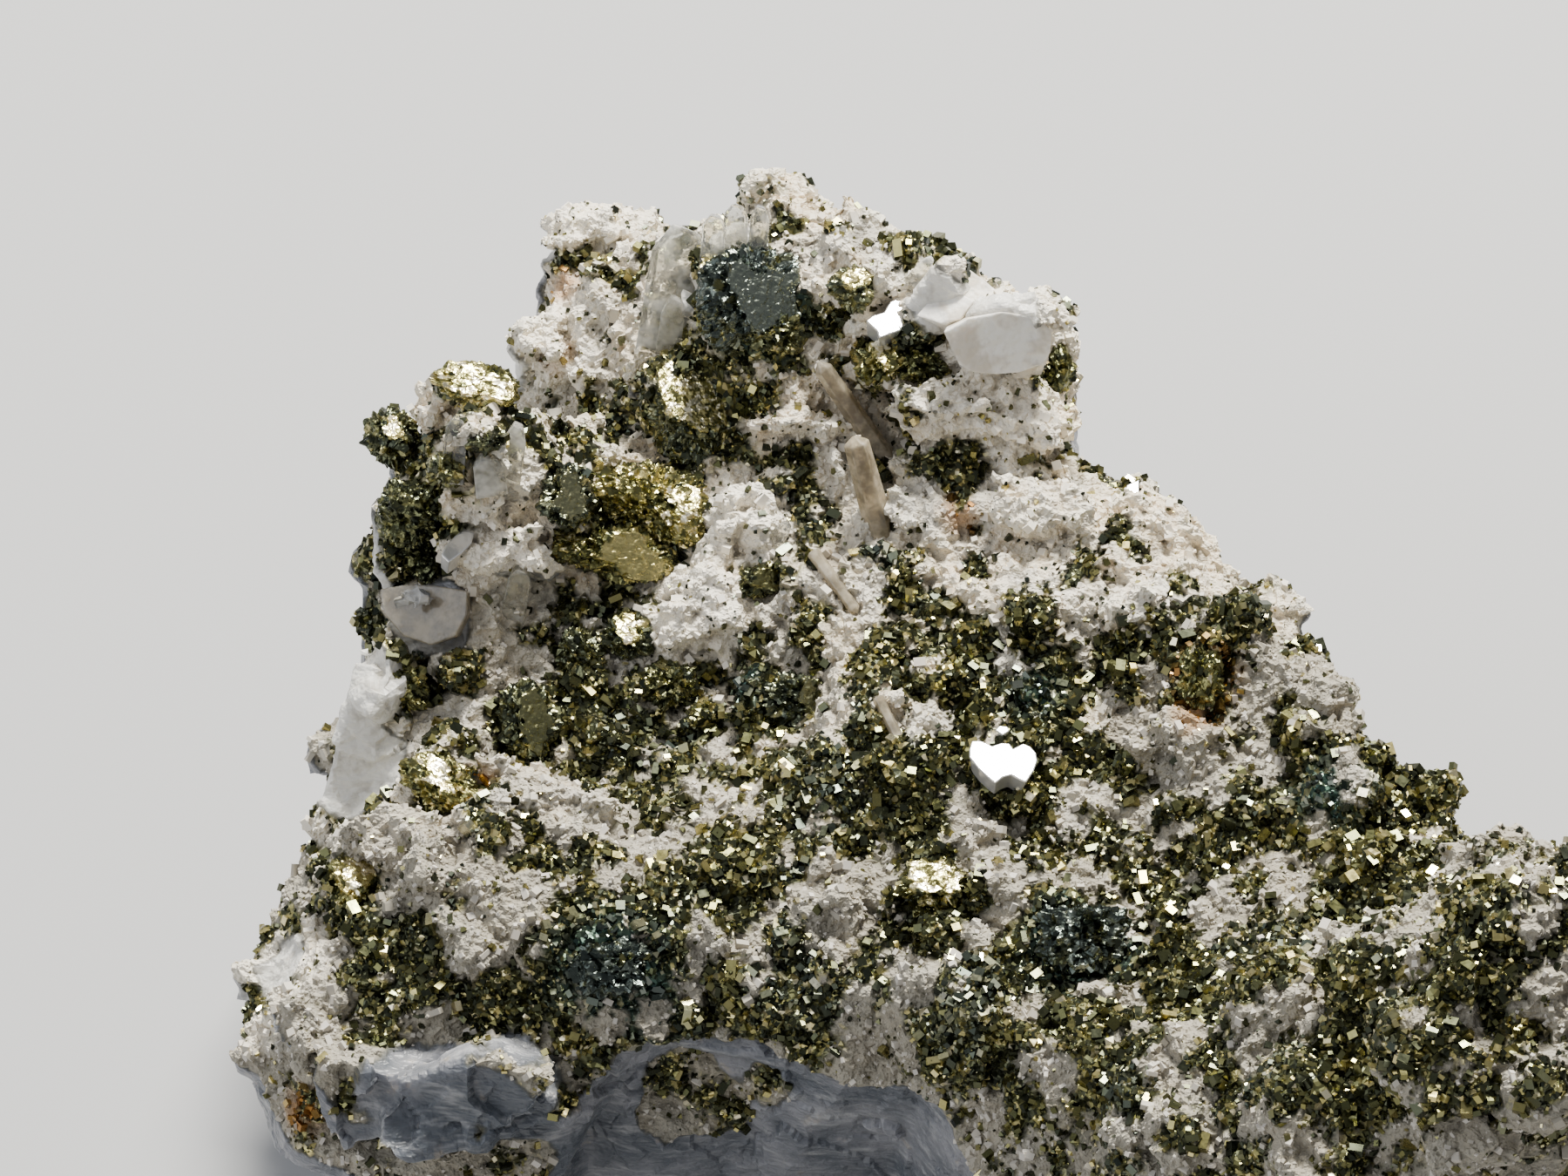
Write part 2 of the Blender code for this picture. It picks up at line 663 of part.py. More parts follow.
def main():
    for old in list(bpy.data.objects):
        bpy.data.objects.remove(old)
    noise.seed_set(SEED)
    parts = add_collection(NAME)
    notches = add_collection("notches")
    crystals = add_collection("crystals")
    mesh = block()
    tree = BVHTree.FromBMesh(mesh)
    specimen = add_object(NAME, mesh, parts)
    specimen.data.materials.append(druse_material())
    for count, (centre, lengths) in enumerate(NOTCHES):
        add_operand(f"notch_{count}", notch(centre, lengths), notches)
    for count, crystal in enumerate(everything_grown(tree)):
        add_operand(f"crystal_{count}", crystal, crystals)
    add_boolean(specimen, "broken_out", "DIFFERENCE", notches)
    add_boolean(specimen, "grown_on", "UNION", crystals)


main()
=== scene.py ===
"""The looks of a loose hand piece of calcite with pyrite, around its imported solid.

The solid gives the chunk its shape and its size. The rock is drawn finer over it: massive
calcite below, a druse on top. On the druse stand chalk grains, pyrite crystals and clear
calcite. What stands on it is laid out as it is seen from the front and above, in
millimetres (right, up) from the centre of that view.
"""

import json
import math
import random

import bmesh
import bpy
import numpy as np
from mathutils import Euler, Matrix, Vector, noise
from mathutils.bvhtree import BVHTree
from mathutils.kdtree import KDTree

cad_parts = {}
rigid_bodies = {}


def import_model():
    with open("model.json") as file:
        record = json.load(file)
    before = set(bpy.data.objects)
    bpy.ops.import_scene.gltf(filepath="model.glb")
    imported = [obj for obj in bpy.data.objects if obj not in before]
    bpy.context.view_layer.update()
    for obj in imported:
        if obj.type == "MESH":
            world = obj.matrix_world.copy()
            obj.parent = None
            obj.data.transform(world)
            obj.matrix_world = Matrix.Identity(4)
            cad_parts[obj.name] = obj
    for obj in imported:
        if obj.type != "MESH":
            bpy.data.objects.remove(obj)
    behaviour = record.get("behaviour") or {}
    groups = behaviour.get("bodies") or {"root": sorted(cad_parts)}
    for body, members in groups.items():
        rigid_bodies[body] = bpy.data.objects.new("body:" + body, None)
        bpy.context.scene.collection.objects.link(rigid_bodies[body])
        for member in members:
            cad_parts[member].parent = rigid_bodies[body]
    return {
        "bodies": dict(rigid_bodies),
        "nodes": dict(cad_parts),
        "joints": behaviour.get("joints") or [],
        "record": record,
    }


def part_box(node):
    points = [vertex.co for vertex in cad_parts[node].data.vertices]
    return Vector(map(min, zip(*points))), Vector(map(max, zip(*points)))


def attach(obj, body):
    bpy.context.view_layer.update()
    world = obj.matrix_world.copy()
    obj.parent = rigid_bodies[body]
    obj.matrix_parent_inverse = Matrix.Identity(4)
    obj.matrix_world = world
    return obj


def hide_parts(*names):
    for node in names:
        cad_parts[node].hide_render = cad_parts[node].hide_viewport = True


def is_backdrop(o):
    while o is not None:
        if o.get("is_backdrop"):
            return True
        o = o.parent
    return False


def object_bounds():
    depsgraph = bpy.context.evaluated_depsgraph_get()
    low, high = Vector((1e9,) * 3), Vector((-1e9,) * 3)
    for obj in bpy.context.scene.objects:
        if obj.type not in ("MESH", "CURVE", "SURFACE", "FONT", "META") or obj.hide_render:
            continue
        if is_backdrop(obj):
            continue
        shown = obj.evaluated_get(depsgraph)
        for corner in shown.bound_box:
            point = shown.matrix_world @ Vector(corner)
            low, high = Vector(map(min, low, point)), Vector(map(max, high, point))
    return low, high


MM = 0.001
NODE = "calcite_with_pyrite"
SEED = 7

# The view that the druse is laid out in, which is the camera's too.
VIEW_CENTRE = Vector((-4.9, 4.4, 12.0))
VIEW_ELEVATION = math.radians(50)
VIEW_DISTANCE = 220.0
RIGHT = Vector((1, 0, 0))
UP = Vector((0, math.sin(VIEW_ELEVATION), math.cos(VIEW_ELEVATION)))
TO_EYE = Vector((0, -math.cos(VIEW_ELEVATION), math.sin(VIEW_ELEVATION)))
EYE = VIEW_CENTRE + TO_EYE * VIEW_DISTANCE
VIEW_FRAME = Matrix((RIGHT, UP, TO_EYE)).transposed()
SENSOR_WIDTH = 36.0
# The studio: each light's place, size in millimetres, watts and colour; the sky; the floor.
KEY_PLACE = (50, 180, 250)
LIGHTS = {
    "key": (KEY_PLACE, 60, 3.5, (1.0, 0.975, 0.90)),
    "fill": ((-260, -60, 220), 260, 0.5, (0.90, 0.94, 1.0)),
}
LIGHTS_AIM = Vector((0, 0, 10))
SKY_COLOUR = (0.90, 0.93, 1.0, 1)
SKY_STRENGTH = 0.36
FLOOR_HALF = 1.5
FLOOR_COLOUR = (0.42, 0.42, 0.425, 1)

# The rock: the size of the cells that it is drawn in, how many triangles are kept of each
# half, where the halves meet, and how far they overlap there.
ROCK_CELL = 0.10
ROCK_TRIANGLES = 165000
ROCK_SPLIT = -0.6
ROCK_OVERLAP = 0.06
# How often its shape is smoothed to find what stands out of it, and which way it faces.
HOLLOW_ROUNDS = 24
WALL_ROUNDS = 60
# It is a bare wall where it faces up less than this, and up to so much more outside the view
# and low down. High up the druse grows on steep places too.
WALL_FACING = 0.30
WALL_FADE = 0.25
ASIDE_FACING = 0.95
ASIDE_FROM = 13.2
BEHIND_FROM = 12.0
ASIDE_BELOW = 10.5
ASIDE_FADE = 2
WALL_TOP = 11.5
WALL_TOP_FADE = 2.0
WALL_TOP_SHARE = 0.8
# How much of the druse is pyrite, and how far patches and nodules sway that.
PYRITE_SHARE = 0.40
PYRITE_SWAY = 0.4

# The knobbly masses that make up the druse: how many, their half sizes, how uneven and how
# swollen they are, and how far the rock beside one still counts as its own.
NODULE_COUNT = 1500
PYRITE_NODULE = (0.20, 0.62)
CHALK_NODULE = (0.14, 0.50)
NODULE_POWER = 2.2
NODULE_SWAY = 0.45
PYRITE_UNEVEN, CHALK_UNEVEN = 0.15, 0.4
PYRITE_SWELL, CHALK_SWELL = 0.3, 0.8
LUMP_SWELL = 0.75
LUMP_SINK = 0.45
SWELL_SCALE = 1.6
FINE_SWELL_FROM = 0.5
FINE_SWELL, FINE_SCALE = 0.35, 4.5
NOISE_RANGE = 50
CRYSTAL_CLEARANCE = 0.5
NODULE_SINK = 0.40
NODULE_REACH = 0.27
DRUSE_FACING = 0.25
ABOVE_ALL = 40.0

# How many radii out the patches below end.
PATCH_REACH = 1.6
# Where pyrite covers the druse: (right, up, radius).
PYRITE_PATCHES = [
    (-0.1, 8.5, 0.4), (1.2, 8.3, 0.5), (2.6, 7.9, 0.6), (1.5, 6.9, 0.5), (-0.8, 6.7, 1.5),
    (-0.3, 5.7, 0.8), (-1.9, 7.2, 0.4), (-2.2, 4.1, 1.5), (-1.5, 3.5, 0.7), (-3.0, 1.9, 1.5),
    (-3.7, 0.8, 1.3), (-2.3, 2.0, 0.8), (-5.0, 2.1, 0.8), (-5.2, 3.5, 0.5), (-4.9, 0.9, 0.6),
    (-9.0, 3.5, 0.8), (-7.1, 4.6, 1.0), (-8.6, 1.7, 0.9), (-8.7, 0.7, 0.8), (-7.6, 1.1, 0.6),
    (-5.0, 7.4, 0.45), (-4.2, 7.0, 0.4), (-4.2, 4.4, 0.6), (2.6, 5.1, 1.2), (4.4, 4.6, 0.7),
    (5.8, 4.3, 0.6), (6.3, 5.2, 0.45), (3.5, 2.7, 0.9), (0.3, 2.6, 0.8), (4.2, 1.7, 0.6),
    (-0.6, 0.2, 0.7), (0.6, -1.0, 0.6), (-3.6, -1.0, 0.7), (-4.4, -1.5, 0.8), (-2.6, -2.2, 0.9),
    (-0.4, -2.5, 0.9), (2.3, -1.6, 0.8), (1.0, -4.2, 0.7), (2.9, -4.4, 1.1), (5.0, -4.0, 0.9),
    (4.2, -2.2, 0.6), (5.8, -2.4, 0.7), (3.5, -6.8, 0.9), (-8.8, -2.3, 0.8), (-2.7, -11.3, 0.5),
    (-1.3, -12.2, 0.5), (-0.3, -11.2, 0.4), (-7.4, -1.9, 0.6), (-5.9, -3.1, 0.9), (-7.8, -4.6, 1.0),
    (-6.9, -5.4, 0.8), (-4.2, -3.6, 0.8), (-9.9, -6.8, 0.8), (-9.4, -7.9, 0.8), (-4.0, -8.7, 1.0),
    (-1.0, -6.6, 0.8), (8.1, 2.2, 0.38), (7.9, 1.0, 0.52), (8.2, -0.6, 0.6), (10.4, -0.9, 0.6),
    (9.6, -2.2, 0.6), (7.0, -3.6, 0.6), (12.2, -3.7, 0.68), (10.4, -5.2, 1.0), (6.8, -8.1, 1.1),
    (14.6, -4.9, 0.8), (13.6, -6.6, 1.1), (9.5, -9.0, 1.2), (12.0, -8.6, 1.0), (15.5, -8.0, 1.0),
    (4.0, -10.3, 1.0), (7.5, -11.0, 1.2), (13.0, -10.8, 1.3), (0.5, -9.6, 0.8), (-6.6, -9.6, 0.9),
    (-8.6, -9.2, 0.9),
]
# Where chalk covers it.
CHALK_PATCHES = [
    (-2.3, -0.65, 1.3), (-1.0, 1.6, 1.1), (-1.5, 0.6, 0.7), (-6.4, 0.8, 1.1), (-8.1, 4.1, 0.5),
    (0.7, 3.6, 1.0), (1.9, 2.6, 0.7), (-0.4, -0.5, 0.5), (4.6, 3.9, 1.2), (6.2, 6.2, 0.6),
    (0.9, 7.6, 0.8), (2.0, 7.3, 0.5), (0.5, 8.9, 0.5), (10.3, 0.0, 0.8), (11.7, -1.8, 0.7),
    (7.9, -0.2, 0.6), (13.0, -4.0, 0.6), (3.2, 1.6, 0.9), (2.0, 6.0, 0.9), (-4.3, 8.3, 1.3),
    (-4.6, 6.3, 1.0), (-5.3, 5.4, 1.3), (-3.6, 5.6, 0.7), (5.9, 1.6, 1.6), (6.8, 3.2, 0.9),
    (9.0, 1.2, 1.2), (11.2, -0.5, 0.8), (12.6, -2.4, 0.9), (9.4, -3.6, 1.1), (1.2, -7.4, 0.9),
    (-5.4, -4.8, 0.9), (-8.2, -6.0, 1.3), (-10.9, -10.2, 1.0), (-6.8, -8.4, 0.9),
]
# Where massive calcite shows through the druse.
MASSIVE_PATCHES = [
    (-9.7, -2.2, 1.0), (-9.9, -4.0, 1.1), (-8.2, -11.6, 1.4), (-6.4, -11.4, 1.1), (-8.2, -0.7, 0.9),
    (5.0, 5.9, 0.8), (3.6, 6.6, 0.7), (5.2, 6.6, 0.6), (-1.3, 8.1, 0.5), (-2.6, 7.0, 0.8),
    (-11.5, -8.7, 0.7),
]
# Where that calcite is white, and catches the light.
WHITE_PATCHES = [
    (-2.2, -0.6, 1.2), (-1.0, 1.6, 1.0), (-6.2, 0.8, 0.8), (5.0, 4.0, 1.2), (-4.3, 8.2, 1.3),
    (4.9, 5.6, 2.0), (3.6, 6.6, 1.0), (-9.7, -2.4, 2.0), (-9.9, -4.2, 1.6), (-2.6, 6.9, 1.2),
    (-1.3, 8.1, 0.8), (-5.3, 5.6, 1.4), (-9.0, 0.8, 0.8), (-11.6, -9.0, 1.2),
]
# Where a little of the druse grows on the wall below it.
WALL_DRUSE_PATCHES = [
    (-2.3, -11.1, 0.8), (-1.6, -12.0, 0.6), (-0.4, -11.4, 0.5), (3.0, -11.3, 0.5),
]
# Orange-brown iron stains, and blue-green tarnish.
RUST_PATCHES = [
    (9.6, -2.0, 0.7), (9.4, -3.1, 0.5), (-5.1, 5.3, 0.4), (-7.1, -4.6, 0.5), (-11.1, -12.0, 0.5),
    (4.0, 1.7, 0.4), (-5.0, 6.9, 0.4),
]
TEAL_PATCHES = [
    (-4.0, -8.7, 1.2), (-3.2, -9.4, 0.8), (6.8, -8.1, 1.0), (-0.8, 6.7, 1.2), (-1.0, -2.3, 0.5),
    (5.8, -2.3, 0.6), (12.6, -4.6, 0.8),
]
# Where the chalk is darker, low down and at the near right end: dirt and painted shade.
DIRT_AND_SHADE_PATCHES = [
    (9.0, -9.5, 5.0), (14.5, -8.5, 5.0), (4.0, -9.0, 4.0), (-1.0, -8.5, 3.0), (-6.5, -8.8, 3.0),
    (10.5, -3.5, 2.5),
]
# Where no knobs stand, so that the outline stays low: (right, up, radius).
LOW_PATCHES = [
    (0.2, 8.7, 1.3), (2.4, 8.2, 0.8), (-7.1, 4.9, 0.9), (-9.2, 3.7, 0.7),
]
# Where nothing small grows, because a larger crystal stands there: (right, up, radius).
BARE_PATCHES = [
    (-0.8, 6.7, 0.9), (2.4, 6.2, 0.4), (5.1, -4.0, 0.6), (8.0, 2.1, 0.3), (-7.2, 2.6, 0.6),
]

# Chalk lumps larger than the rest: (right, up, half sizes across, up and deep, turn in degrees).
CHALK_LUMPS = [
    (-2.10, -0.60, 1.12, 0.86, 1.15, 8),
    (-2.95, -0.55, 0.70, 0.30, 0.55, 4),
    (-1.60, -1.25, 0.55, 0.35, 0.60, -20),
    (-0.90, 1.66, 0.95, 0.60, 0.60, -8),
    (-1.56, 0.66, 0.50, 0.50, 0.50, 0),
    (0.60, 3.75, 0.95, 0.30, 0.70, -5),
    (1.20, 2.60, 0.28, 0.70, 0.50, 8),
    (-6.45, 0.90, 1.00, 0.58, 0.75, 10),
    (-5.60, 0.55, 0.55, 0.35, 0.50, -25),
    (-0.36, -0.54, 0.38, 0.30, 0.45, 0),
    (3.60, 4.30, 1.00, 0.50, 0.80, -8),
    (5.30, 3.90, 1.30, 0.60, 0.90, -18),
    (5.90, 6.20, 0.55, 0.42, 0.50, -10),
    (6.35, 5.75, 0.35, 0.35, 0.40, 0),
    (-4.40, 8.20, 1.20, 0.50, 0.90, 6),
    (-5.30, 5.60, 0.75, 0.95, 0.90, 0),
    (3.20, 1.70, 0.90, 0.55, 0.50, -20),
    (6.10, 1.70, 1.20, 0.80, 0.50, -30),
    (8.90, 1.20, 1.40, 0.60, 0.80, -45),
    (-8.30, -5.60, 1.90, 0.55, 0.60, 6),
    (-6.10, -4.40, 0.80, 0.50, 0.50, -20),
    (-10.9, -10.3, 0.55, 1.00, 0.60, 25),
    (1.30, -7.30, 0.90, 0.60, 0.60, 15),
    (9.30, -3.70, 1.00, 0.70, 0.60, -20),
    (-8.10, 4.15, 0.40, 0.40, 0.45, 30),
    (-8.36, -0.24, 0.36, 0.32, 0.85, 0),
]

# Clear calcite tablets: (root right, root up, tip right, tip up, lean to the eye, width, thick).
TABLETS = [
    (-2.75, 5.3, -2.3, 8.45, 0.9, 1.45, 0.9),
    (-2.7, 5.2, -2.5, 6.7, 1.1, 0.60, 0.5),
    (-1.65, 7.6, -1.60, 8.60, 0.4, 0.60, 0.40),
    (-1.15, 7.8, -1.10, 8.85, 0.3, 0.62, 0.40),
    (-0.60, 7.7, -0.55, 8.80, 0.5, 0.48, 0.35),
    (2.9, 7.0, 3.4, 7.6, 0.5, 0.35, 0.25),
    (-0.3, 1.0, 0.1, 1.5, 0.4, 0.40, 0.30),
    (-6.3, 2.5, -6.1, 3.8, 0.9, 0.55, 0.4),
    (-7.60, 2.8, -7.50, 3.95, 0.5, 0.55, 0.40),
    (-6.75, 2.4, -6.85, 3.05, 0.5, 0.75, 0.40),
    (-6.2, -0.5, -6.0, 0.5, 0.7, 0.60, 0.4),
]
# Calcite with outlines of its own: the way its face looks (right, up, to the eye), its
# thickness, how far it stands out, its kind, and its outline in the view. A slab of stone is
# one with the rock, a pale one has a satin face, a dull one is cloudy.
SLABS = [
    (
        (0.1, -0.3, 0.94), 0.9, 0.42, "pale",
        [
            (3.66, 5.88), (4.24, 6.18), (5.00, 6.34), (5.80, 6.22), (6.16, 5.90), (6.12, 5.40),
            (5.94, 5.12), (5.40, 4.94), (4.92, 4.90), (4.34, 4.94), (4.02, 5.12), (3.84, 5.50),
        ],
    ),
    (
        (-0.35, 0.45, 0.82), 0.7, 0.25, "pale",
        [
            (3.04, 6.26), (3.32, 6.58), (3.84, 6.90), (4.36, 6.60), (4.04, 6.18), (3.60, 6.08),
        ],
    ),
    (
        (0.2, 0.4, 0.88), 0.8, 0.25, "pale",
        [
            (3.72, 6.98), (3.92, 7.30), (4.24, 7.34), (4.62, 7.06), (5.00, 6.74), (5.04, 6.38),
            (4.36, 6.50),
        ],
    ),
    (
        (-0.2, -0.5, 0.84), 1.5, 0.05, "stone",
        [
            (-10.90, -10.70), (-10.56, -12.00), (-10.16, -12.94), (-7.60, -12.54), (-5.80, -12.26),
            (-5.20, -11.30), (-6.80, -10.80), (-8.60, -11.30),
        ],
    ),
    (
        (-0.3, 0.1, 0.95), 0.8, 0.02, "dull",
        [
            (-9.28, -0.02), (-9.20, -0.58), (-8.76, -1.10), (-8.12, -1.32), (-7.56, -1.12),
            (-7.28, -0.62), (-7.26, -0.06), (-8.00, 0.06), (-8.70, 0.08),
        ],
    ),
    (
        (-0.55, 0.45, 0.7), 0.6, 0.1, "stone",
        [
            (-9.76, -1.30), (-9.96, -2.40), (-9.56, -2.94), (-9.00, -2.00), (-9.10, -1.26),
        ],
    ),
]
# Slim calcite prisms: (root right, root up, tip right, tip up, lean to the eye, width).
PRISMS = [
    (2.1, 3.3, 0.75, 5.2, 0.9, 0.54),
    (2.1, 1.7, 1.6, 3.5, 0.8, 0.72),
    (0.9, 0.5, 1.7, -0.6, 0.4, 0.34),
    (2.4, -3.0, 3.2, -4.6, 0.6, 0.30),
]
# A tablet's front, as shares of its half width and its length, and its smaller back.
TABLET_ROOT = 0.3
TABLET_FRONT = [
    (-1.0, -TABLET_ROOT),
    (1.0, -TABLET_ROOT),
    (1.0, 0.72),
    (0.62, 0.95),
    (-0.30, 1.0),
    (-0.86, 0.80),
]
TABLET_BACK_WIDTH = 0.8
TABLET_BACK_LENGTH = 0.94
# A crystal's front face is looked for in these steps along it, and has to face this exactly.
FACE_STEPS = 20
FACE_STEP = 0.05
FACE_MATCH = 0.999
# A crystal's room in the rock: its length's share, its margin, and where its root begins.
CRYSTAL_ROOM = {"prism": (1.05, 0.05), "tablet": (1.03, 0.03)}
ROOT_SHARE = 0.06
PRISM_SIDES = 6
PRISM_ROOT = 0.3
PRISM_SHOULDER = 0.9
PRISM_TAPER = 0.85
PRISM_LIFT = 0.25
CRYSTAL_EDGE = 0.04
SLAB_TAPER = 0.15

# The ways across calcite's three cleavages.
CLEAVAGE_WAYS = [
    Vector((0.88, 0.30, 0.36)).normalized(),
    Vector((-0.36, 0.90, 0.24)).normalized(),
    Vector((-0.10, -0.42, 0.90)).normalized(),
]

# Polished faces that throw the key light at the front: outlines in the view, going round.
MIRROR_FACES = [
    [
        (2.78, 6.86), (2.88, 6.20), (2.78, 5.96), (2.56, 5.88), (2.18, 5.74), (2.14, 5.90),
        (1.88, 6.14), (2.04, 6.26), (2.30, 6.34), (2.42, 6.56), (2.56, 6.68),
    ],
    [
        (4.31, -3.50), (4.52, -3.50), (4.78, -3.62), (4.99, -3.55), (5.18, -3.56), (5.26, -3.68),
        (5.36, -3.63), (5.49, -3.56), (5.66, -3.63), (5.79, -3.78), (5.82, -3.96), (5.74, -4.19),
        (5.56, -4.46), (5.39, -4.39), (5.23, -4.29), (5.03, -4.34), (4.86, -4.48), (4.73, -4.39),
        (4.46, -4.14), (4.25, -3.88), (4.25, -3.70),
    ],
    [
        (4.84, -3.26), (4.94, -3.15), (5.14, -3.17), (5.18, -3.28), (5.02, -3.38),
    ],
    [
        (-7.78, 0.98), (-7.56, 1.20), (-7.35, 1.33), (-7.09, 1.29), (-7.17, 1.03), (-7.39, 0.81),
        (-7.69, 0.59), (-7.87, 0.77),
    ],
    [
        (8.16, 2.50), (8.16, 2.20), (8.00, 1.74), (7.80, 1.66), (7.64, 1.80), (7.72, 2.10),
        (7.88, 2.38),
    ],
]
MIRROR_THICK = 0.6
MIRROR_LIFT = 0.22

# Pyrite masses drawn finely: (right, up, half sizes across, up and deep, turn in degrees,
# cell of their facets, tone from dark 0 to brass 1, tarnish, how far out they are cut flat,
# whether the cut is turned to the key light).
PYRITE_MASSES = [
    (-0.75, 6.75, 1.18, 1.12, 1.4, 0, 0.13, 0.24, 0.90, 0.78, False),
    (-1.62, 7.45, 0.34, 0.30, 0.9, 0, 0.10, 0.50, 0.2, 0.7, True),
    (-1.55, 6.60, 0.14, 0.14, 0.9, 0, 0.12, 0.95, 0.3, 0.6, True),
    (-1.05, 6.50, 0.12, 0.12, 1.1, 0, 0.12, 0.95, 0.3, 0.6, True),
    (-0.30, 5.90, 0.75, 0.50, 0.7, -15, 0.12, 0.42, 0.2, 1, False),
    (-2.05, 4.00, 0.93, 1.38, 1.2, 4, 0.11, 0.30, 0.35, 0.70, True),
    (-3.00, 1.90, 1.30, 0.95, 1.1, -20, 0.10, 0.64, 0.0, 1, False),
    (-2.25, 1.95, 0.50, 0.45, 0.5, -20, 0.12, 0.55, 0.0, 0.60, True),
    (-3.70, 0.75, 1.20, 0.58, 1.1, -8, 0.13, 0.48, 0.0, 0.8, False),
    (-5.05, 2.10, 0.60, 0.66, 0.7, 0, 0.11, 0.32, 0.4, 0.8, False),
    (-5.20, 3.50, 0.38, 0.38, 0.4, 0, 0.11, 0.15, 0.2, 1, False),
    (-4.95, 0.92, 0.42, 0.36, 0.4, 0, 0.12, 0.60, 0.0, 0.6, True),
    (-9.05, 3.50, 0.52, 0.62, 0.6, 0, 0.12, 0.30, 0.2, 0.85, True),
    (-7.05, 4.65, 0.98, 0.50, 0.8, -4, 0.13, 0.70, 0.0, 0.55, True),
    (-6.85, 3.35, 0.42, 0.26, 0.7, 0, 0.11, 0.12, 0.2, 1, False),
    (-7.75, 2.75, 0.45, 0.40, 0.9, 0, 0.12, 0.40, 0.1, 1, False),
    (-8.60, 1.70, 0.75, 0.75, 0.8, 0, 0.11, 0.25, 0.1, 1, False),
    (-8.20, 0.60, 0.60, 0.50, 0.6, 0, 0.11, 0.25, 0.1, 1, False),
    (2.25, 5.20, 0.60, 0.50, 0.6, 0, 0.12, 0.55, 0.0, 0.85, True),
    (3.10, 5.10, 0.70, 0.50, 0.6, -10, 0.11, 0.35, 0.0, 1, False),
    (1.60, 6.90, 0.50, 0.50, 0.5, 30, 0.13, 0.45, 0.3, 0.8, True),
    (6.35, 5.00, 0.35, 0.60, 0.4, 0, 0.11, 0.30, 0.0, 1, False),
    (-0.55, 0.16, 0.55, 0.38, 0.5, 12, 0.12, 0.25, 0.1, 0.8, False),
    (-4.70, -1.50, 0.45, 0.60, 0.5, 10, 0.12, 0.30, 0.2, 1, False),
    (-3.60, -1.10, 0.62, 0.55, 0.6, 0, 0.13, 0.35, 0.3, 0.8, True),
    (-2.60, -2.20, 0.60, 0.50, 0.6, 0, 0.12, 0.40, 0.1, 1, False),
    (-5.90, -3.10, 0.62, 0.92, 0.7, 10, 0.13, 0.22, 0.2, 0.7, False),
    (-7.80, -4.60, 1.00, 0.60, 0.8, -35, 0.12, 0.50, 0.0, 0.9, True),
    (-8.80, -2.30, 0.62, 0.52, 0.6, 0, 0.12, 0.35, 0.0, 1, False),
    (0.20, -2.60, 0.80, 0.62, 0.6, 0, 0.13, 0.25, 0.4, 0.8, False),
    (3.50, -6.80, 0.80, 0.50, 0.7, 0, 0.14, 0.60, 0.1, 0.6, True),
    (6.90, -8.00, 1.00, 0.80, 0.7, 0, 0.14, 0.20, 0.8, 1, False),
    (-9.90, -6.70, 0.50, 0.60, 0.6, 0, 0.13, 0.65, 0.0, 0.7, True),
    (-4.00, -8.70, 0.90, 0.60, 0.6, 0, 0.13, 0.10, 0.9, 1, False),
    (9.60, -2.10, 0.50, 0.80, 0.6, 0, 0.13, 0.50, 0.0, 1, False),
]
OCTAHEDRON_TIP = 1.3
LEAST_STRETCH, MOST_STRETCH = (0.7,) * 3, (1.2,) * 3
# What grows over the rock: (name, slot, how many to the square millimetre, half sizes, seed).
SCATTERED = [
    ("pyrite_crystals", "pyrite", 42.0, 0.03, 0.11, 7),
    ("pyrite_specks", "pyrite", 5.0, 0.025, 0.08, 17),
    ("chalk_grains", "calcite", 14.0, 0.03, 0.09, 27),
]
# Pyrite masses: the way that the cuts which aren't lit face, how deep the masses are sunk and
# how far around them the rock stays bare, how uneven they are, how far their facets tilt and
# step, and how their tones spread.
MASS_FLAT_WAY = Vector((0.42, 0.10, 0.90)).normalized()
MASS_ROOM = 1.1
MASS_BARE_SHARE = 0.95
MASS_SINK = 0.55
MASS_SWELL = 0.35
MASS_SCALE = 1.5
MEDIUM_AREA, LARGE_AREA = 0.25, 1.2
MASS_FACET, LIT_FACET, SATIN_FACET = 0.65, 0.16, 0.08
MASS_CUT = 0.96
FACET_STEP = 0.25
CUT_STEP = 0.3
# Cuts turned to the key light are given this bright tone: a painted highlight.
LIT_HIGHLIGHT_TONE = 0.85
SATIN_LIFT = 0.30
TONE_SPREAD, SATIN_SPREAD = 0.24, 0.04
BRASS_SHARE = 0.10


class Value:
    """A number in a node tree: sums on it are written as Python expressions."""

    def __init__(self, nodes, socket):
        self.nodes = nodes
        self.socket = socket

    def maths(self, operation, *values):
        settings = {"operation": operation}
        sockets = dict(enumerate(values))
        return self.nodes.value("ShaderNodeMath", settings, sockets)

    def __add__(self, other):
        return self.maths("ADD", self, other)

    def __radd__(self, other):
        return self.maths("ADD", other, self)

    def __sub__(self, other):
        return self.maths("SUBTRACT", self, other)

    def __rsub__(self, other):
        return self.maths("SUBTRACT", other, self)

    def __mul__(self, other):
        return self.maths("MULTIPLY", self, other)

    def __pow__(self, other):
        return self.maths("POWER", self, other)

    def most(self, other):
        return self.maths("MAXIMUM", self, other)

    def rise(self, low, high):
        """0 below low, 1 above high, and a smooth rise between them."""
        settings = {"interpolation_type": "SMOOTHSTEP"}
        sockets = {"Value": self, "From Min": low, "From Max": high}
        return self.nodes.value("ShaderNodeMapRange", settings, sockets)


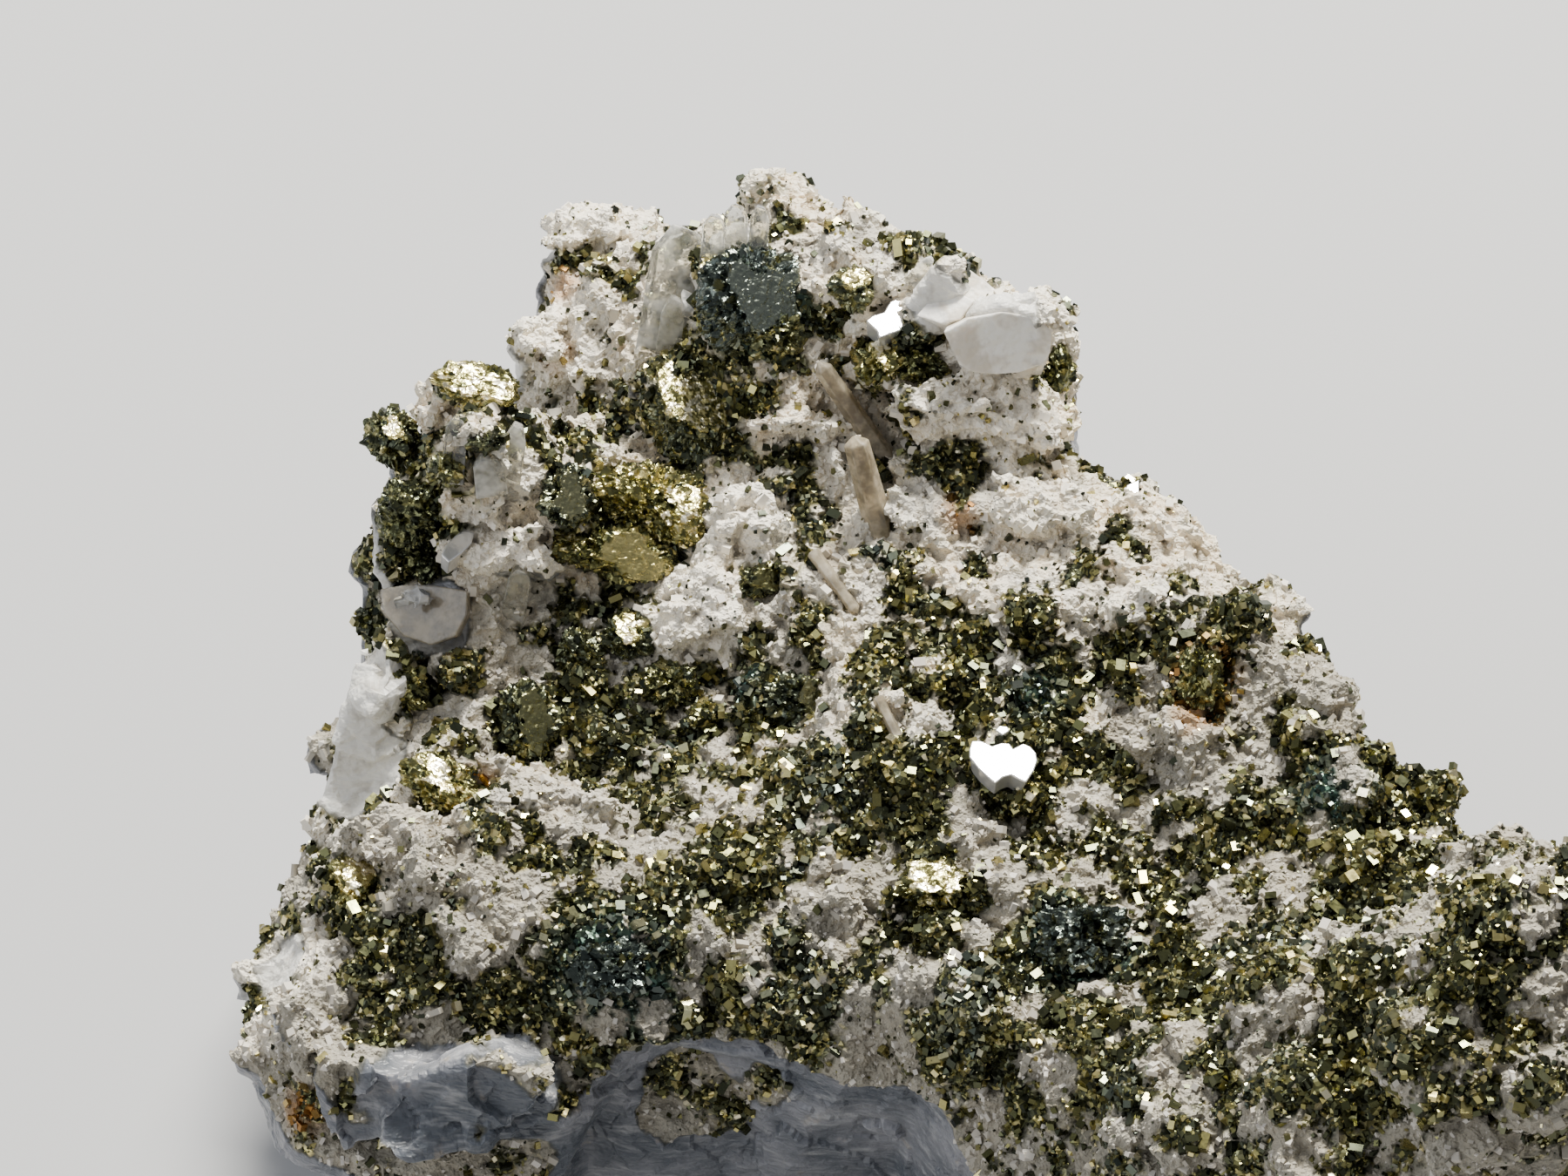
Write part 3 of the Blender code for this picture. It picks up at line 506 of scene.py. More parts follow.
class Nodes:
    """A node tree, and the one way that nodes are added to it."""

    def __init__(self, tree):
        self.tree = tree

    def add(self, kind, settings=None, sockets=None):
        """A node of a kind, with its settings, then its sockets' values or links."""
        node = self.tree.nodes.new(kind)
        for name, setting in (settings or {}).items():
            if name == "stops":
                self.set_stops(node, setting)
            else:
                setattr(node, name, setting)
        for name, given in (sockets or {}).items():
            self.feed(node.inputs[name], given)
        return node

    def feed(self, socket, given):
        if isinstance(given, Value):
            given = given.socket
        if isinstance(given, bpy.types.NodeSocket):
            self.tree.links.new(given, socket)
        else:
            socket.default_value = given

    def set_stops(self, node, stops):
        elements = node.color_ramp.elements
        while len(elements) < len(stops):
            elements.new(0)
        for element, (position, colour) in zip(elements, stops):
            element.position = position
            element.color = (*colour, 1)

    def value(self, kind, settings=None, sockets=None, output=0):
        node = self.add(kind, settings, sockets)
        return Value(self, node.outputs[output])

    def noise(self, place, scale, detail, roughness):
        """Noise about 0.5, at a scale of features to the millimetre."""
        sockets = {"Vector": place, "Scale": scale, "Detail": detail, "Roughness": roughness}
        return self.value("ShaderNodeTexNoise", None, sockets)

    def cells(self, place, scale):
        """The distance to the middle of Voronoi cells, so many to the millimetre."""
        sockets = {"Vector": place, "Scale": scale}
        return self.value("ShaderNodeTexVoronoi", None, sockets, "Distance")

    def mix(self, factor, first, second):
        """A colour between two."""
        settings = {"data_type": "RGBA", "blend_type": "MIX"}
        return self.add("ShaderNodeMix", settings, {0: factor, 6: first, 7: second}).outputs[2]

    def vector(self, operation, first, second):
        settings = {"operation": operation}
        return self.add("ShaderNodeVectorMath", settings, {0: first, 1: second}).outputs[0]

    def scaled(self, vector, scale):
        settings = {"operation": "SCALE"}
        return self.add("ShaderNodeVectorMath", settings, {0: vector, "Scale": scale}).outputs[0]

    def dot(self, first, second):
        settings = {"operation": "DOT_PRODUCT"}
        return self.value("ShaderNodeVectorMath", settings, {0: first, 1: second}, "Value")

    def ramp(self, value, stops):
        return self.add("ShaderNodeValToRGB", {"stops": stops}, {0: value}).outputs[0]

    def shader(self, sockets):
        return self.add("ShaderNodeBsdfPrincipled", None, sockets)

    def blend(self, share, first, second):
        """A shader between two."""
        sockets = {0: share, 1: first.outputs[0], 2: second.outputs[0]}
        return self.add("ShaderNodeMixShader", None, sockets)


class Grower(Nodes):
    """A Geometry Nodes tree that turns one mesh into another."""

    def __init__(self, name, numbers):
        super().__init__(bpy.data.node_groups.new(name, "GeometryNodeTree"))
        sides = self.tree.interface
        sides.new_socket("Geometry", in_out="INPUT", socket_type="NodeSocketGeometry")
        sides.new_socket("Geometry", in_out="OUTPUT", socket_type="NodeSocketGeometry")
        for label, number in numbers.items():
            kind = "NodeSocketInt" if isinstance(number, int) else "NodeSocketFloat"
            made = sides.new_socket(label, in_out="INPUT", socket_type=kind)
            made.default_value = number
        self.inputs = self.add("NodeGroupInput").outputs

    def number(self, label):
        return Value(self, self.inputs[label])

    def place(self):
        """Where a point is, in millimetres."""
        here = self.add("GeometryNodeInputPosition").outputs[0]
        return self.scaled(here, 1 / MM)

    def attribute(self, name):
        settings = {"data_type": "FLOAT"}
        return self.value("GeometryNodeInputNamedAttribute", settings, {"Name": name})

    def store(self, geometry, name, value, domain="POINT"):
        settings = {"data_type": "FLOAT", "domain": domain}
        sockets = {"Geometry": geometry, "Name": name, "Value": value}
        return self.add("GeometryNodeStoreNamedAttribute", settings, sockets).outputs[0]

    def random(self, low, high, seed, kind="FLOAT"):
        """A random number or vector for each item."""
        node = self.add("FunctionNodeRandomValue", {"data_type": kind})
        first = 2 if kind == "FLOAT" else 0
        for socket, given in zip(node.inputs[first:], (low, high)):
            self.feed(socket, given)
        self.feed(node.inputs["Seed"], seed)
        return Value(self, node.outputs[first // 2])

    def finish(self, geometry, material):
        """Ends the tree: instances made real, and the material set."""
        real = self.add("GeometryNodeRealizeInstances", None, {0: geometry}).outputs[0]
        sockets = {"Geometry": real, "Material": material}
        painted = self.add("GeometryNodeSetMaterial", None, sockets).outputs[0]
        self.add("NodeGroupOutput", None, {0: painted})

    def run_on(self, guide, name, **numbers):
        """The plain mesh object that the tree makes of a guide, which is removed."""
        modifier = guide.modifiers.new(name, "NODES")
        modifier.node_group = self.tree
        for item in self.tree.interface.items_tree:
            if item.in_out == "INPUT" and item.name in numbers:
                modifier[item.identifier] = numbers[item.name]
        return plain(guide, name)


def plain(guide, name):
    """A new object with the guide's final shape as its mesh. The guide is removed."""
    graph = bpy.context.evaluated_depsgraph_get()
    mesh = bpy.data.meshes.new_from_object(guide.evaluated_get(graph))
    mesh.name = name
    bpy.data.objects.remove(guide)
    return show(name, mesh)


def show(name, mesh):
    made = bpy.data.objects.new(name, mesh)
    bpy.context.scene.collection.objects.link(made)
    return made


def material(name):
    """A new material, as (material, nodes, the object's coordinates in millimetres)."""
    made = bpy.data.materials.new(name)
    made.use_nodes = True
    made.node_tree.nodes.clear()
    nodes = Nodes(made.node_tree)
    here = nodes.add("ShaderNodeTexCoord").outputs["Object"]
    return made, nodes, nodes.scaled(here, 1 / MM)


def attribute(nodes, name):
    settings = {"attribute_name": name, "attribute_type": "GEOMETRY"}
    return Value(nodes, nodes.add("ShaderNodeAttribute", settings).outputs["Fac"])


def surface(nodes, shader):
    nodes.add("ShaderNodeOutputMaterial", None, {"Surface": shader.outputs[0]})


def bump(nodes, height, distance, strength):
    sockets = {"Height": height, "Distance": distance * MM, "Strength": strength}
    return nodes.add("ShaderNodeBump", None, sockets).outputs[0]


def facets(nodes, place, scale):
    """The height of many small flat facets, each with a tilt of its own."""
    cell = nodes.add("ShaderNodeTexVoronoi", None, {"Vector": place, "Scale": scale})
    tilt = nodes.vector("SUBTRACT", cell.outputs["Color"], (0.5, 0.5, 0.5))
    return nodes.dot(tilt, nodes.vector("SUBTRACT", place, cell.outputs["Position"]))


# Pyrite from its dark faces to its brass ones.
PYRITE_TONES = [
    (0.0, (0.046, 0.051, 0.033)),
    (0.35, (0.105, 0.108, 0.046)),
    (0.65, (0.27, 0.25, 0.095)),
    (0.88, (0.62, 0.53, 0.22)),
    (1.0, (0.94, 0.86, 0.62)),
]


def chalk_colour(nodes, place, stands):
    """Chalky calcite: cream to grey, a painted highlight where it stands out, painted shade and dirt
    in its pits and low down.
    """
    cloud = nodes.noise(place, 0.6, 3.0, 0.6)
    warm = nodes.mix(cloud.rise(0.38, 0.62), (0.79, 0.67, 0.49, 1), (0.61, 0.57, 0.49, 1))
    grain = nodes.noise(place, 5.0, 2.0, 0.65)
    colour = nodes.mix(grain.rise(0.42, 0.66) * 0.7, warm, (0.88, 0.81, 0.66, 1))
    # Lighter where it stands out: a painted highlight on the crests.
    colour = nodes.mix(stands.rise(0.0, 0.14) * 0.55, colour, (0.94, 0.885, 0.73, 1))
    stain = nodes.noise(place, 1.4, 3.0, 0.65)
    colour = nodes.mix(stain.rise(0.56, 0.72) * 0.55, colour, (0.42, 0.30, 0.16, 1))
    height = nodes.add("ShaderNodeSeparateXYZ", None, {0: place}).outputs[2]
    white = attribute(nodes, "white")
    # Darker low down and on the patches at the near right end: dirt and painted shade, kept off the
    # white calcite.
    grime_and_shade = 1 - (Value(nodes, height) + stain * 5.0).rise(11.5, 17.0)
    grime_and_shade = grime_and_shade.most(attribute(nodes, "dirty").rise(0.0, 0.5)) * (1 - white)
    colour = nodes.mix(grime_and_shade * 0.85, colour, (0.28, 0.255, 0.20, 1))
    colour = nodes.mix(white * 0.75, colour, (0.98, 0.91, 0.77, 1))
    rust = attribute(nodes, "rust")
    colour = nodes.mix(rust * 0.7, colour, (0.42, 0.20, 0.05, 1))
    # Darker in the hollows: painted shade, with some dirt.
    pit_shade_and_dirt = 1 - stands.rise(-0.16, 0.0)
    return nodes.mix(pit_shade_and_dirt * 0.75, colour, (0.13, 0.115, 0.085, 1)), grain


def rock_material():
    """The rock: chalky crust, dark where pyrite covers it, and massive calcite below."""
    made, nodes, place = material("calcite_rock")
    pyrite = attribute(nodes, "pyrite")
    massive = attribute(nodes, "massive")
    stands = attribute(nodes, "stands_out")
    chalk, grain = chalk_colour(nodes, place, stands)
    speck = nodes.cells(place, 3.6)
    dots = (1 - speck.rise(0.14, 0.28)) * nodes.noise(place, 2.4, 2.0, 0.6).rise(0.46, 0.58)
    chalk = nodes.mix(dots * 0.8, chalk, (0.085, 0.075, 0.045, 1))
    facet = nodes.add("ShaderNodeTexVoronoi", None, {"Vector": place, "Scale": 7.5})
    shade = nodes.add("ShaderNodeSeparateColor", None, {0: facet.outputs["Color"]})
    tone = Value(nodes, shade.outputs[0]) ** 2.2
    metal = nodes.ramp(tone, PYRITE_TONES)
    # Pyrite darker in the hollows: painted shade.
    low = 1 - stands.rise(-0.14, 0.02)
    metal = nodes.mix(low * 0.5, metal, (0.028, 0.029, 0.021, 1))
    metal = nodes.mix(attribute(nodes, "teal") * 0.6, metal, (0.035, 0.09, 0.085, 1))
    colour = nodes.mix(pyrite, chalk, metal)
    powder = grain * 0.16 + nodes.noise(place, 11.0, 1.0, 0.5) * 0.06
    height = powder * (1 - pyrite) + facets(nodes, place, 7.5) * pyrite * 1.5
    crust = nodes.shader(
        {
            "Base Color": colour,
            "Roughness": 0.9 - pyrite * 0.62,
            "Metallic": pyrite * 0.9,
            "Normal": bump(nodes, height, 1.0, 1.0),
        }
    )
    stone, flaw = massive_shader(nodes, place)
    both = nodes.blend(massive.rise(0.3, 0.6), crust, stone)
    # A dark seam where the two meet, patchy with the flaws.
    seam = nodes.shader({"Base Color": (0.045, 0.045, 0.032, 1), "Roughness": 0.7})
    rim = massive * (1 - massive) * 3.2
    seam_darkness = (rim * (flaw + 0.35)).rise(0.35, 0.8) * 0.75
    surface(nodes, nodes.blend(seam_darkness, both, seam))
    return made


def massive_shader(nodes, place):
    """Massive calcite: blue-grey to white, with veils and flaws, its greys kept dark as painted
    shade. Light goes into it.
    """
    veil = nodes.noise(place, 0.45, 4.0, 0.62)
    flaw = nodes.noise(place, 2.2, 3.0, 0.7)
    streaked = nodes.vector("MULTIPLY", place, (0.5, 1.6, 2.6))
    streak = nodes.noise(streaked, 1.1, 3.0, 0.7)
    # The greys of the body and its flaws are darker than the calcite is: painted shade.
    body = nodes.mix(veil.rise(0.38, 0.66), (0.085, 0.095, 0.11, 1), (0.24, 0.24, 0.255, 1))
    body = nodes.mix(streak.rise(0.50, 0.72) * 0.5, body, (0.46, 0.455, 0.45, 1))
    body = nodes.mix(flaw.rise(0.55, 0.75) * 0.5, body, (0.075, 0.08, 0.095, 1))
    pale = nodes.mix(flaw.rise(0.45, 0.7), (0.74, 0.72, 0.66, 1), (0.55, 0.52, 0.46, 1))
    body = nodes.mix(attribute(nodes, "white"), body, pale)
    stain = nodes.noise(place, 0.9, 3.0, 0.7).rise(0.62, 0.75)
    body = nodes.mix(stain * 0.4, body, (0.46, 0.36, 0.22, 1))
    stone = nodes.shader(
        {
            "Base Color": body,
            "Roughness": 0.22 + flaw * 0.4,
            "Subsurface Weight": 0.35,
            "Subsurface Radius": (1.0, 1.0, 1.1),
            "Subsurface Scale": 0.9 * MM,
            "Normal": bump(nodes, flaw * 0.10 + streak * 0.16, 1.0, 0.9),
        }
    )
    return stone, flaw


def pyrite_material(name, own_tarnish):
    """Pyrite: brass to dark olive, a little blue-green tarnish, one tone a crystal, the scattered
    crystals darker in hollows as painted shade.
    """
    made, nodes, place = material(name)
    tone = attribute(nodes, "tone")
    if own_tarnish:
        tarnish = attribute(nodes, "tarnish") * 0.85
    else:
        # Crystals darker in the hollows: painted shade.
        low = 1 - attribute(nodes, "stands_out").rise(-0.14, 0.04)
        tone = tone**1.5 * (1 - low * 0.6)
        haze = nodes.noise(place, 0.35, 2.0, 0.5).rise(0.52, 0.68) * 0.5
        tarnish = haze.most(attribute(nodes, "teal") * 0.8)
    brass = nodes.ramp(tone, PYRITE_TONES)
    teal = nodes.mix(tone, (0.038, 0.050, 0.049, 1), (0.27, 0.32, 0.31, 1))
    colour = nodes.mix(tarnish, brass, teal)
    if not own_tarnish:
        colour = nodes.mix(attribute(nodes, "rust") * 0.7, colour, (0.36, 0.15, 0.03, 1))
    fine = nodes.noise(place, 9.0, 1.0, 0.6)
    sockets = {"Base Color": colour, "Metallic": 1.0, "Roughness": 0.16 + fine * 0.26}
    if own_tarnish:
        sockets["Normal"] = bump(nodes, fine, 0.05, 0.5)
    surface(nodes, nodes.shader(sockets))
    return made


def chalk_material():
    """Chalky calcite grains: as the chalk around them, each a little whiter or not."""
    made, nodes, place = material("chalk_grains")
    colour, _ = chalk_colour(nodes, place, attribute(nodes, "stands_out"))
    colour = nodes.mix(attribute(nodes, "tone") * 0.5, colour, (0.94, 0.88, 0.80, 1))
    surface(nodes, nodes.shader({"Base Color": colour, "Roughness": 0.85}))
    return made


def clear_material():
    """Clear calcite, with white veils."""
    made, nodes, place = material("clear_calcite")
    veil = nodes.noise(place, 1.3, 3.0, 0.6).rise(0.46, 0.72) * 0.6 + 0.10
    surface(nodes, part_clear(nodes, place, veil, (0.90, 0.88, 0.78, 1), (0.88, 0.84, 0.75, 1)))
    return made


def cloudy_material():
    """Cloudy calcite, tan to grey, nowhere quite clear."""
    made, nodes, place = material("cloudy_calcite")
    veil = nodes.noise(place, 2.2, 3.0, 0.65).rise(0.35, 0.7) * 0.4 + 0.25
    surface(nodes, part_clear(nodes, place, veil, (0.50, 0.42, 0.29, 1), (0.62, 0.53, 0.40, 1)))
    return made


def pale_material():
    """Pale calcite with a satin lustre and soft folds."""
    made, nodes, place = material("pale_calcite")
    cloud = nodes.noise(place, 1.1, 3.0, 0.6)
    fine = nodes.noise(place, 5.0, 2.0, 0.6)
    colour = nodes.mix(cloud.rise(0.44, 0.58), (0.98, 0.93, 0.84, 1), (0.76, 0.69, 0.58, 1))
    colour = nodes.mix(fine.rise(0.50, 0.75) * 0.4, colour, (0.66, 0.60, 0.50, 1))
    shader = nodes.shader(
        {
            "Base Color": colour,
            "Roughness": 0.32 + fine * 0.2,
            "Subsurface Weight": 0.25,
            "Subsurface Radius": (1.0, 0.9, 0.8),
            "Subsurface Scale": 0.4 * MM,
            "Normal": bump(nodes, cloud * 0.5 + fine * 0.08, 0.5, 0.8),
        }
    )
    surface(nodes, shader)
    return made


def part_clear(nodes, place, veil, colour, pale):
    """Calcite that is seen through, apart from its veils."""
    fine = nodes.noise(place, 3.0, 2.0, 0.6)
    clear = nodes.shader(
        {
            "Base Color": colour,
            "Roughness": 0.04 + fine * 0.12,
            "Transmission Weight": 1.0,
            "IOR": 1.6,
            "Normal": bump(nodes, fine, 0.06, 0.5),
        }
    )
    cloudy = nodes.shader(
        {
            "Base Color": nodes.mix(fine.rise(0.40, 0.75), colour, pale),
            "Roughness": 0.20 + fine * 0.25,
            "Subsurface Weight": 0.7,
            "Subsurface Radius": (1.0, 1.0, 1.0),
            "Subsurface Scale": 0.8 * MM,
            "Normal": bump(nodes, fine, 0.05, 0.5),
        }
    )
    return nodes.blend(veil, clear, cloudy)


def mirror_material():
    """The polished faces: a bright, smooth lustre."""
    made, nodes, place = material("polished_faces")
    fine = nodes.noise(place, 5.0, 3.0, 0.6)
    shader = nodes.shader(
        {
            "Base Color": (0.86, 0.85, 0.83, 1),
            "Metallic": 0.6,
            "Roughness": 0.10 + fine * 0.12,
            "Normal": bump(nodes, fine, 0.03, 0.4),
        }
    )
    surface(nodes, shader)
    return made


def solid_tree(specimen):
    """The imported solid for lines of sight, in millimetres."""
    vertices = [vertex.co / MM for vertex in specimen.data.vertices]
    faces = [tuple(face.vertices) for face in specimen.data.polygons]
    return BVHTree.FromPolygons(vertices, faces)


def sight(right, up):
    """The way from the eye to a place of the view."""
    return (VIEW_CENTRE + RIGHT * right + UP * up - EYE).normalized()


def seen(tree, right, up):
    """The point of the solid at a place of the view, in millimetres, or None."""
    return tree.ray_cast(EYE, sight(right, up))[0]


def in_view(point):
    """Where a point is in the view: right and up, in millimetres at its centre."""
    out = Vector(point) - EYE
    scale = VIEW_DISTANCE / -out.dot(TO_EYE)
    return out.dot(RIGHT) * scale, out.dot(UP) * scale


def inside_outline(outline, right, up):
    """Whether a place of the view is inside an outline."""
    inside = False
    for (first_right, first_up), (next_right, next_up) in zip(outline, outline[1:] + outline[:1]):
        if (first_up > up) != (next_up > up):
            share = (up - first_up) / (next_up - first_up)
            inside ^= right < first_right + (next_right - first_right) * share
    return inside


def kept_bare(point):
    """Whether a point is seen where a pyrite mass, a slab or a large crystal stands."""
    right, up = in_view(point)
    for mass_right, mass_up, across, high, *_ in PYRITE_MASSES:
        if math.hypot((right - mass_right) / across, (up - mass_up) / high) < MASS_ROOM:
            return True
    for patch_right, patch_up, radius in BARE_PATCHES + MASSIVE_PATCHES + LOW_PATCHES:
        if math.hypot(right - patch_right, up - patch_up) < radius:
            return True
    outlines = MIRROR_FACES + [row[-1] for row in SLABS]
    return any(inside_outline(outline, right, up) for outline in outlines)


def near_patches(tree, points, patches):
    """For each point, 1 near the middle of a patch, falling to 0 a little past its radius."""
    nearness = np.zeros(len(points))
    for right, up, radius in patches:
        middle = seen(tree, right, up)
        if middle is None:
            continue
        away = np.linalg.norm(points - np.array(middle), axis=1) / radius
        nearness = np.maximum(nearness, np.clip(PATCH_REACH - away, 0, 1))
    return nearness


def crystal_axes(root, tip, lean):
    """A crystal's frame (side, along, face) and its length."""
    along = RIGHT * (tip[0] - root[0]) + UP * (tip[1] - root[1]) + TO_EYE * lean
    way = along.normalized()
    side = way.cross(TO_EYE).normalized()
    frame = Matrix((side, way, side.cross(way))).transposed().to_4x4()
    return frame, along.length


def crystal_place(tree, root, tip, lean, front):
    """A crystal's frame at its root, found from its front face in the solid, and its length.

    front is how far that face is from the crystal's middle plane.
    """
    frame, length = crystal_axes(root, tip, lean)
    face = frame.col[2].to_3d()
    way = sight(*root)
    # Where no part of the face is in view, the crystal stands on what is seen at its root.
    frame.translation = seen(tree, *root) - TO_EYE * front
    for step in range(1, FACE_STEPS):
        share = FACE_STEP * step
        right = root[0] + (tip[0] - root[0]) * share
        up = root[1] + (tip[1] - root[1]) * share
        hit, facing = tree.ray_cast(EYE, sight(right, up))[:2]
        if hit and facing.dot(face) > FACE_MATCH:
            frame.translation = EYE + way * ((hit - EYE).dot(face) - front) / way.dot(face)
            break
    return frame, length


def tablet_corners(frame, length, width, thick, grow):
    """A flat crystal with a rounded top, narrower behind."""
    half = thick / 2 + grow
    front = [(x * (width / 2 + grow), y * length, half) for x, y in TABLET_FRONT]
    back = [(x * TABLET_BACK_WIDTH, y * TABLET_BACK_LENGTH, -half) for x, y, _ in front]
    return [frame @ Vector(point) for point in front + back]


def prism_corners(frame, length, width, grow):
    """A slim six-sided crystal with a blunt point."""
    radius = width / 2 + grow
    points = []
    for side in range(PRISM_SIDES):
        angle = math.tau * side / PRISM_SIDES
        x, z = radius * math.cos(angle), radius * math.sin(angle)
        points.append((x, -PRISM_ROOT * length, z))
        points.append((x * PRISM_TAPER, PRISM_SHOULDER * length, z * PRISM_TAPER))
    points.append((0, length, 0))
    return [frame @ Vector(point) for point in points]


def crystal_hull(kind, frame, length, width, thick, grow=0.0):
    """A tablet or a prism as a bmesh."""
    if kind == "tablet":
        return hull_mesh(tablet_corners(frame, length, width, thick, grow))
    return hull_mesh(prism_corners(frame, length, width, grow))


def placed_crystals(tree):
    """The clear tablets and prisms, as (kind, frame, length, width, thick)."""
    made = []
    for root_x, root_y, tip_x, tip_y, lean, width, thick in TABLETS:
        root, tip = (root_x, root_y), (tip_x, tip_y)
        frame, length = crystal_place(tree, root, tip, lean, thick / 2)
        made.append(("tablet", frame, length, width, thick))
    for root_x, root_y, tip_x, tip_y, lean, width in PRISMS:
        root, tip = (root_x, root_y), (tip_x, tip_y)
        front = width / 2 * math.cos(math.pi / PRISM_SIDES)
        frame, length = crystal_place(tree, root, tip, lean, front)
        frame.translation += TO_EYE * PRISM_LIFT
        made.append(("prism", frame, length, width, width))
    return made


def inside_a_crystal(point, crystals, margin):
    """Whether a point is in or beside one of the placed crystals."""
    for _, frame, length, width, thick in crystals:
        x, y, z = frame.inverted() @ Vector(point)
        if abs(x) < width / 2 + margin and abs(z) < thick / 2 + margin:
            if 0 < y < length + margin:
                return True
    return False


def hull_mesh(corners):
    """The closed convex solid around some corners, as a bmesh."""
    mesh = bmesh.new()
    for corner in corners:
        mesh.verts.new(corner)
    made = bmesh.ops.convex_hull(mesh, input=mesh.verts)
    inside = [item for item in made["geom_interior"] if item.is_valid]
    bmesh.ops.delete(mesh, geom=inside, context="VERTS")
    bmesh.ops.recalc_face_normals(mesh, faces=mesh.faces)
    return mesh


def settled(mesh, name):
    """A bmesh as a mesh. The bmesh is freed."""
    data = bpy.data.meshes.new(name)
    mesh.to_mesh(data)
    mesh.free()
    return data


def cut_rim(mesh, place, way, dist, **cleared):
    """Cuts a bmesh at a plane and clears one side of it. Gives the edges of the cut."""
    geometry = mesh.verts[:] + mesh.edges[:] + mesh.faces[:]
    cut = bmesh.ops.bisect_plane(
        mesh, geom=geometry, dist=dist, plane_co=place, plane_no=way, **cleared
    )
    return [item for item in cut["geom_cut"] if isinstance(item, bmesh.types.BMEdge)]


def without_crystals(guide, crystals):
    """Takes the clear crystals out of the rock, down to their roots."""
    for kind, frame, length, width, thick in crystals:
        longer, margin = CRYSTAL_ROOM[kind]
        mesh = crystal_hull(kind, frame, length * longer, width, thick, margin)
        root = frame @ Vector((0, ROOT_SHARE * length, 0))
        rim = cut_rim(mesh, root, frame.col[1].to_3d(), 1e-5, clear_inner=True)
        bmesh.ops.contextual_create(mesh, geom=rim)
        bmesh.ops.scale(mesh, vec=(MM, MM, MM), verts=mesh.verts)
        taken = show("taken_out", settled(mesh, "taken_out"))
        cutting = guide.modifiers.new("taken_out", "BOOLEAN")
        cutting.operation = "DIFFERENCE"
        cutting.solver = "EXACT"
        cutting.object = taken
        guide = plain(guide, "rock_guide")
        bpy.data.objects.remove(taken)
    return guide


def unit_lump(levels):
    """A round unit mesh, as arrays of corners and of triangles."""
    mesh = bmesh.new()
    bmesh.ops.create_icosphere(mesh, subdivisions=levels, radius=1)
    return arrays_of(mesh)


def swollen_lump(corners, halves, turn, offset, swell):
    """A lump's corners: a round unit shape stretched, turned and made uneven."""
    places = [Vector(corner) for corner in corners]
    sizes = [1 + swell * noise.noise(place * SWELL_SCALE + offset) for place in places]
    if swell > FINE_SWELL_FROM:
        fine = [FINE_SWELL * swell * noise.noise(place * FINE_SCALE + offset) for place in places]
        sizes = np.array(sizes) + fine
    shape = np.array(turn @ Matrix.Diagonal(halves))
    return (corners * np.array(sizes)[:, None]) @ shape.T


def nodules(tree, crystals):
    """Knobbly masses over the druse, as (corners, triangles, pyrite of each corner)."""
    rng = random.Random(SEED)
    noise.seed_set(SEED)
    low, high = (np.array(side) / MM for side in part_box(NODE))
    places = []
    while len(places) < NODULE_COUNT:
        top = Vector((rng.uniform(low[0], high[0]), rng.uniform(low[1], high[1]), ABOVE_ALL))
        place, facing = tree.ray_cast(top, Vector((0, 0, -1)))[:2]
        chance = rng.random()
        if place is None or facing.z < DRUSE_FACING or kept_bare(place):
            continue
        if not inside_a_crystal(place, crystals, CRYSTAL_CLEARANCE):
            places.append((place, facing, chance))
    middles = np.array([place for place, _, _ in places])
    leaning = near_patches(tree, middles, PYRITE_PATCHES)
    leaning -= near_patches(tree, middles, CHALK_PATCHES)
    lumps = []
    corners, faces = unit_lump(2)
    for count, (place, facing, chance) in enumerate(places):
        is_pyrite = rng.random() < 0.5 + NODULE_SWAY * leaning[count]
        smallest, largest = PYRITE_NODULE if is_pyrite else CHALK_NODULE
        size = smallest + (largest - smallest) * chance**NODULE_POWER
        uneven = PYRITE_UNEVEN if is_pyrite else CHALK_UNEVEN
        swell = PYRITE_SWELL if is_pyrite else CHALK_SWELL
        halves = [size * rng.uniform(1 - uneven, 1 + uneven) for _ in range(3)]
        turn = Euler([rng.uniform(0, math.tau) for _ in range(3)]).to_matrix()
        lump = swollen_lump(corners, halves, turn, random_offset(rng), swell)
        lump = lump + np.array(place - facing * size * NODULE_SINK)
        lumps.append((lump, faces, np.full(len(lump), float(is_pyrite))))
    corners, faces = unit_lump(4)
    for right, up, across, high, deep, degrees in CHALK_LUMPS:
        middle = seen(tree, right, up) - TO_EYE * deep * LUMP_SINK
        turn = VIEW_FRAME @ Matrix.Rotation(math.radians(degrees), 3, "Z")
        lump = swollen_lump(corners, (across, high, deep), turn, random_offset(rng), LUMP_SWELL)
        lumps.append((lump + np.array(middle), faces, np.zeros(len(lump))))
    for mesh in slabs_of(tree, "stone"):
        slab, faces = arrays_of(mesh)
        lumps.append((slab, faces, np.zeros(len(slab))))
    return stacked(lumps)


def random_offset(rng):
    return Vector([rng.uniform(-NOISE_RANGE, NOISE_RANGE) for _ in range(3)])


def stacked(parts):
    """Meshes as (corners, triangles, values of each corner), joined into one of each."""
    corners, faces, *values = zip(*parts)
    starts = np.cumsum([0] + [len(part) for part in corners[:-1]])
    faces = [part + start for part, start in zip(faces, starts)]
    return [np.concatenate(column) for column in (corners, faces, *values)]


def joined(guide, corners, faces):
    """The solid and the nodules as one guide object, still overlapping."""
    mesh = bmesh.new()
    mesh.from_mesh(guide.data)
    added = [mesh.verts.new(Vector(corner) * MM) for corner in corners]
    for face in faces:
        mesh.faces.new([added[corner] for corner in face])
    mesh.to_mesh(guide.data)
    mesh.free()
    return guide


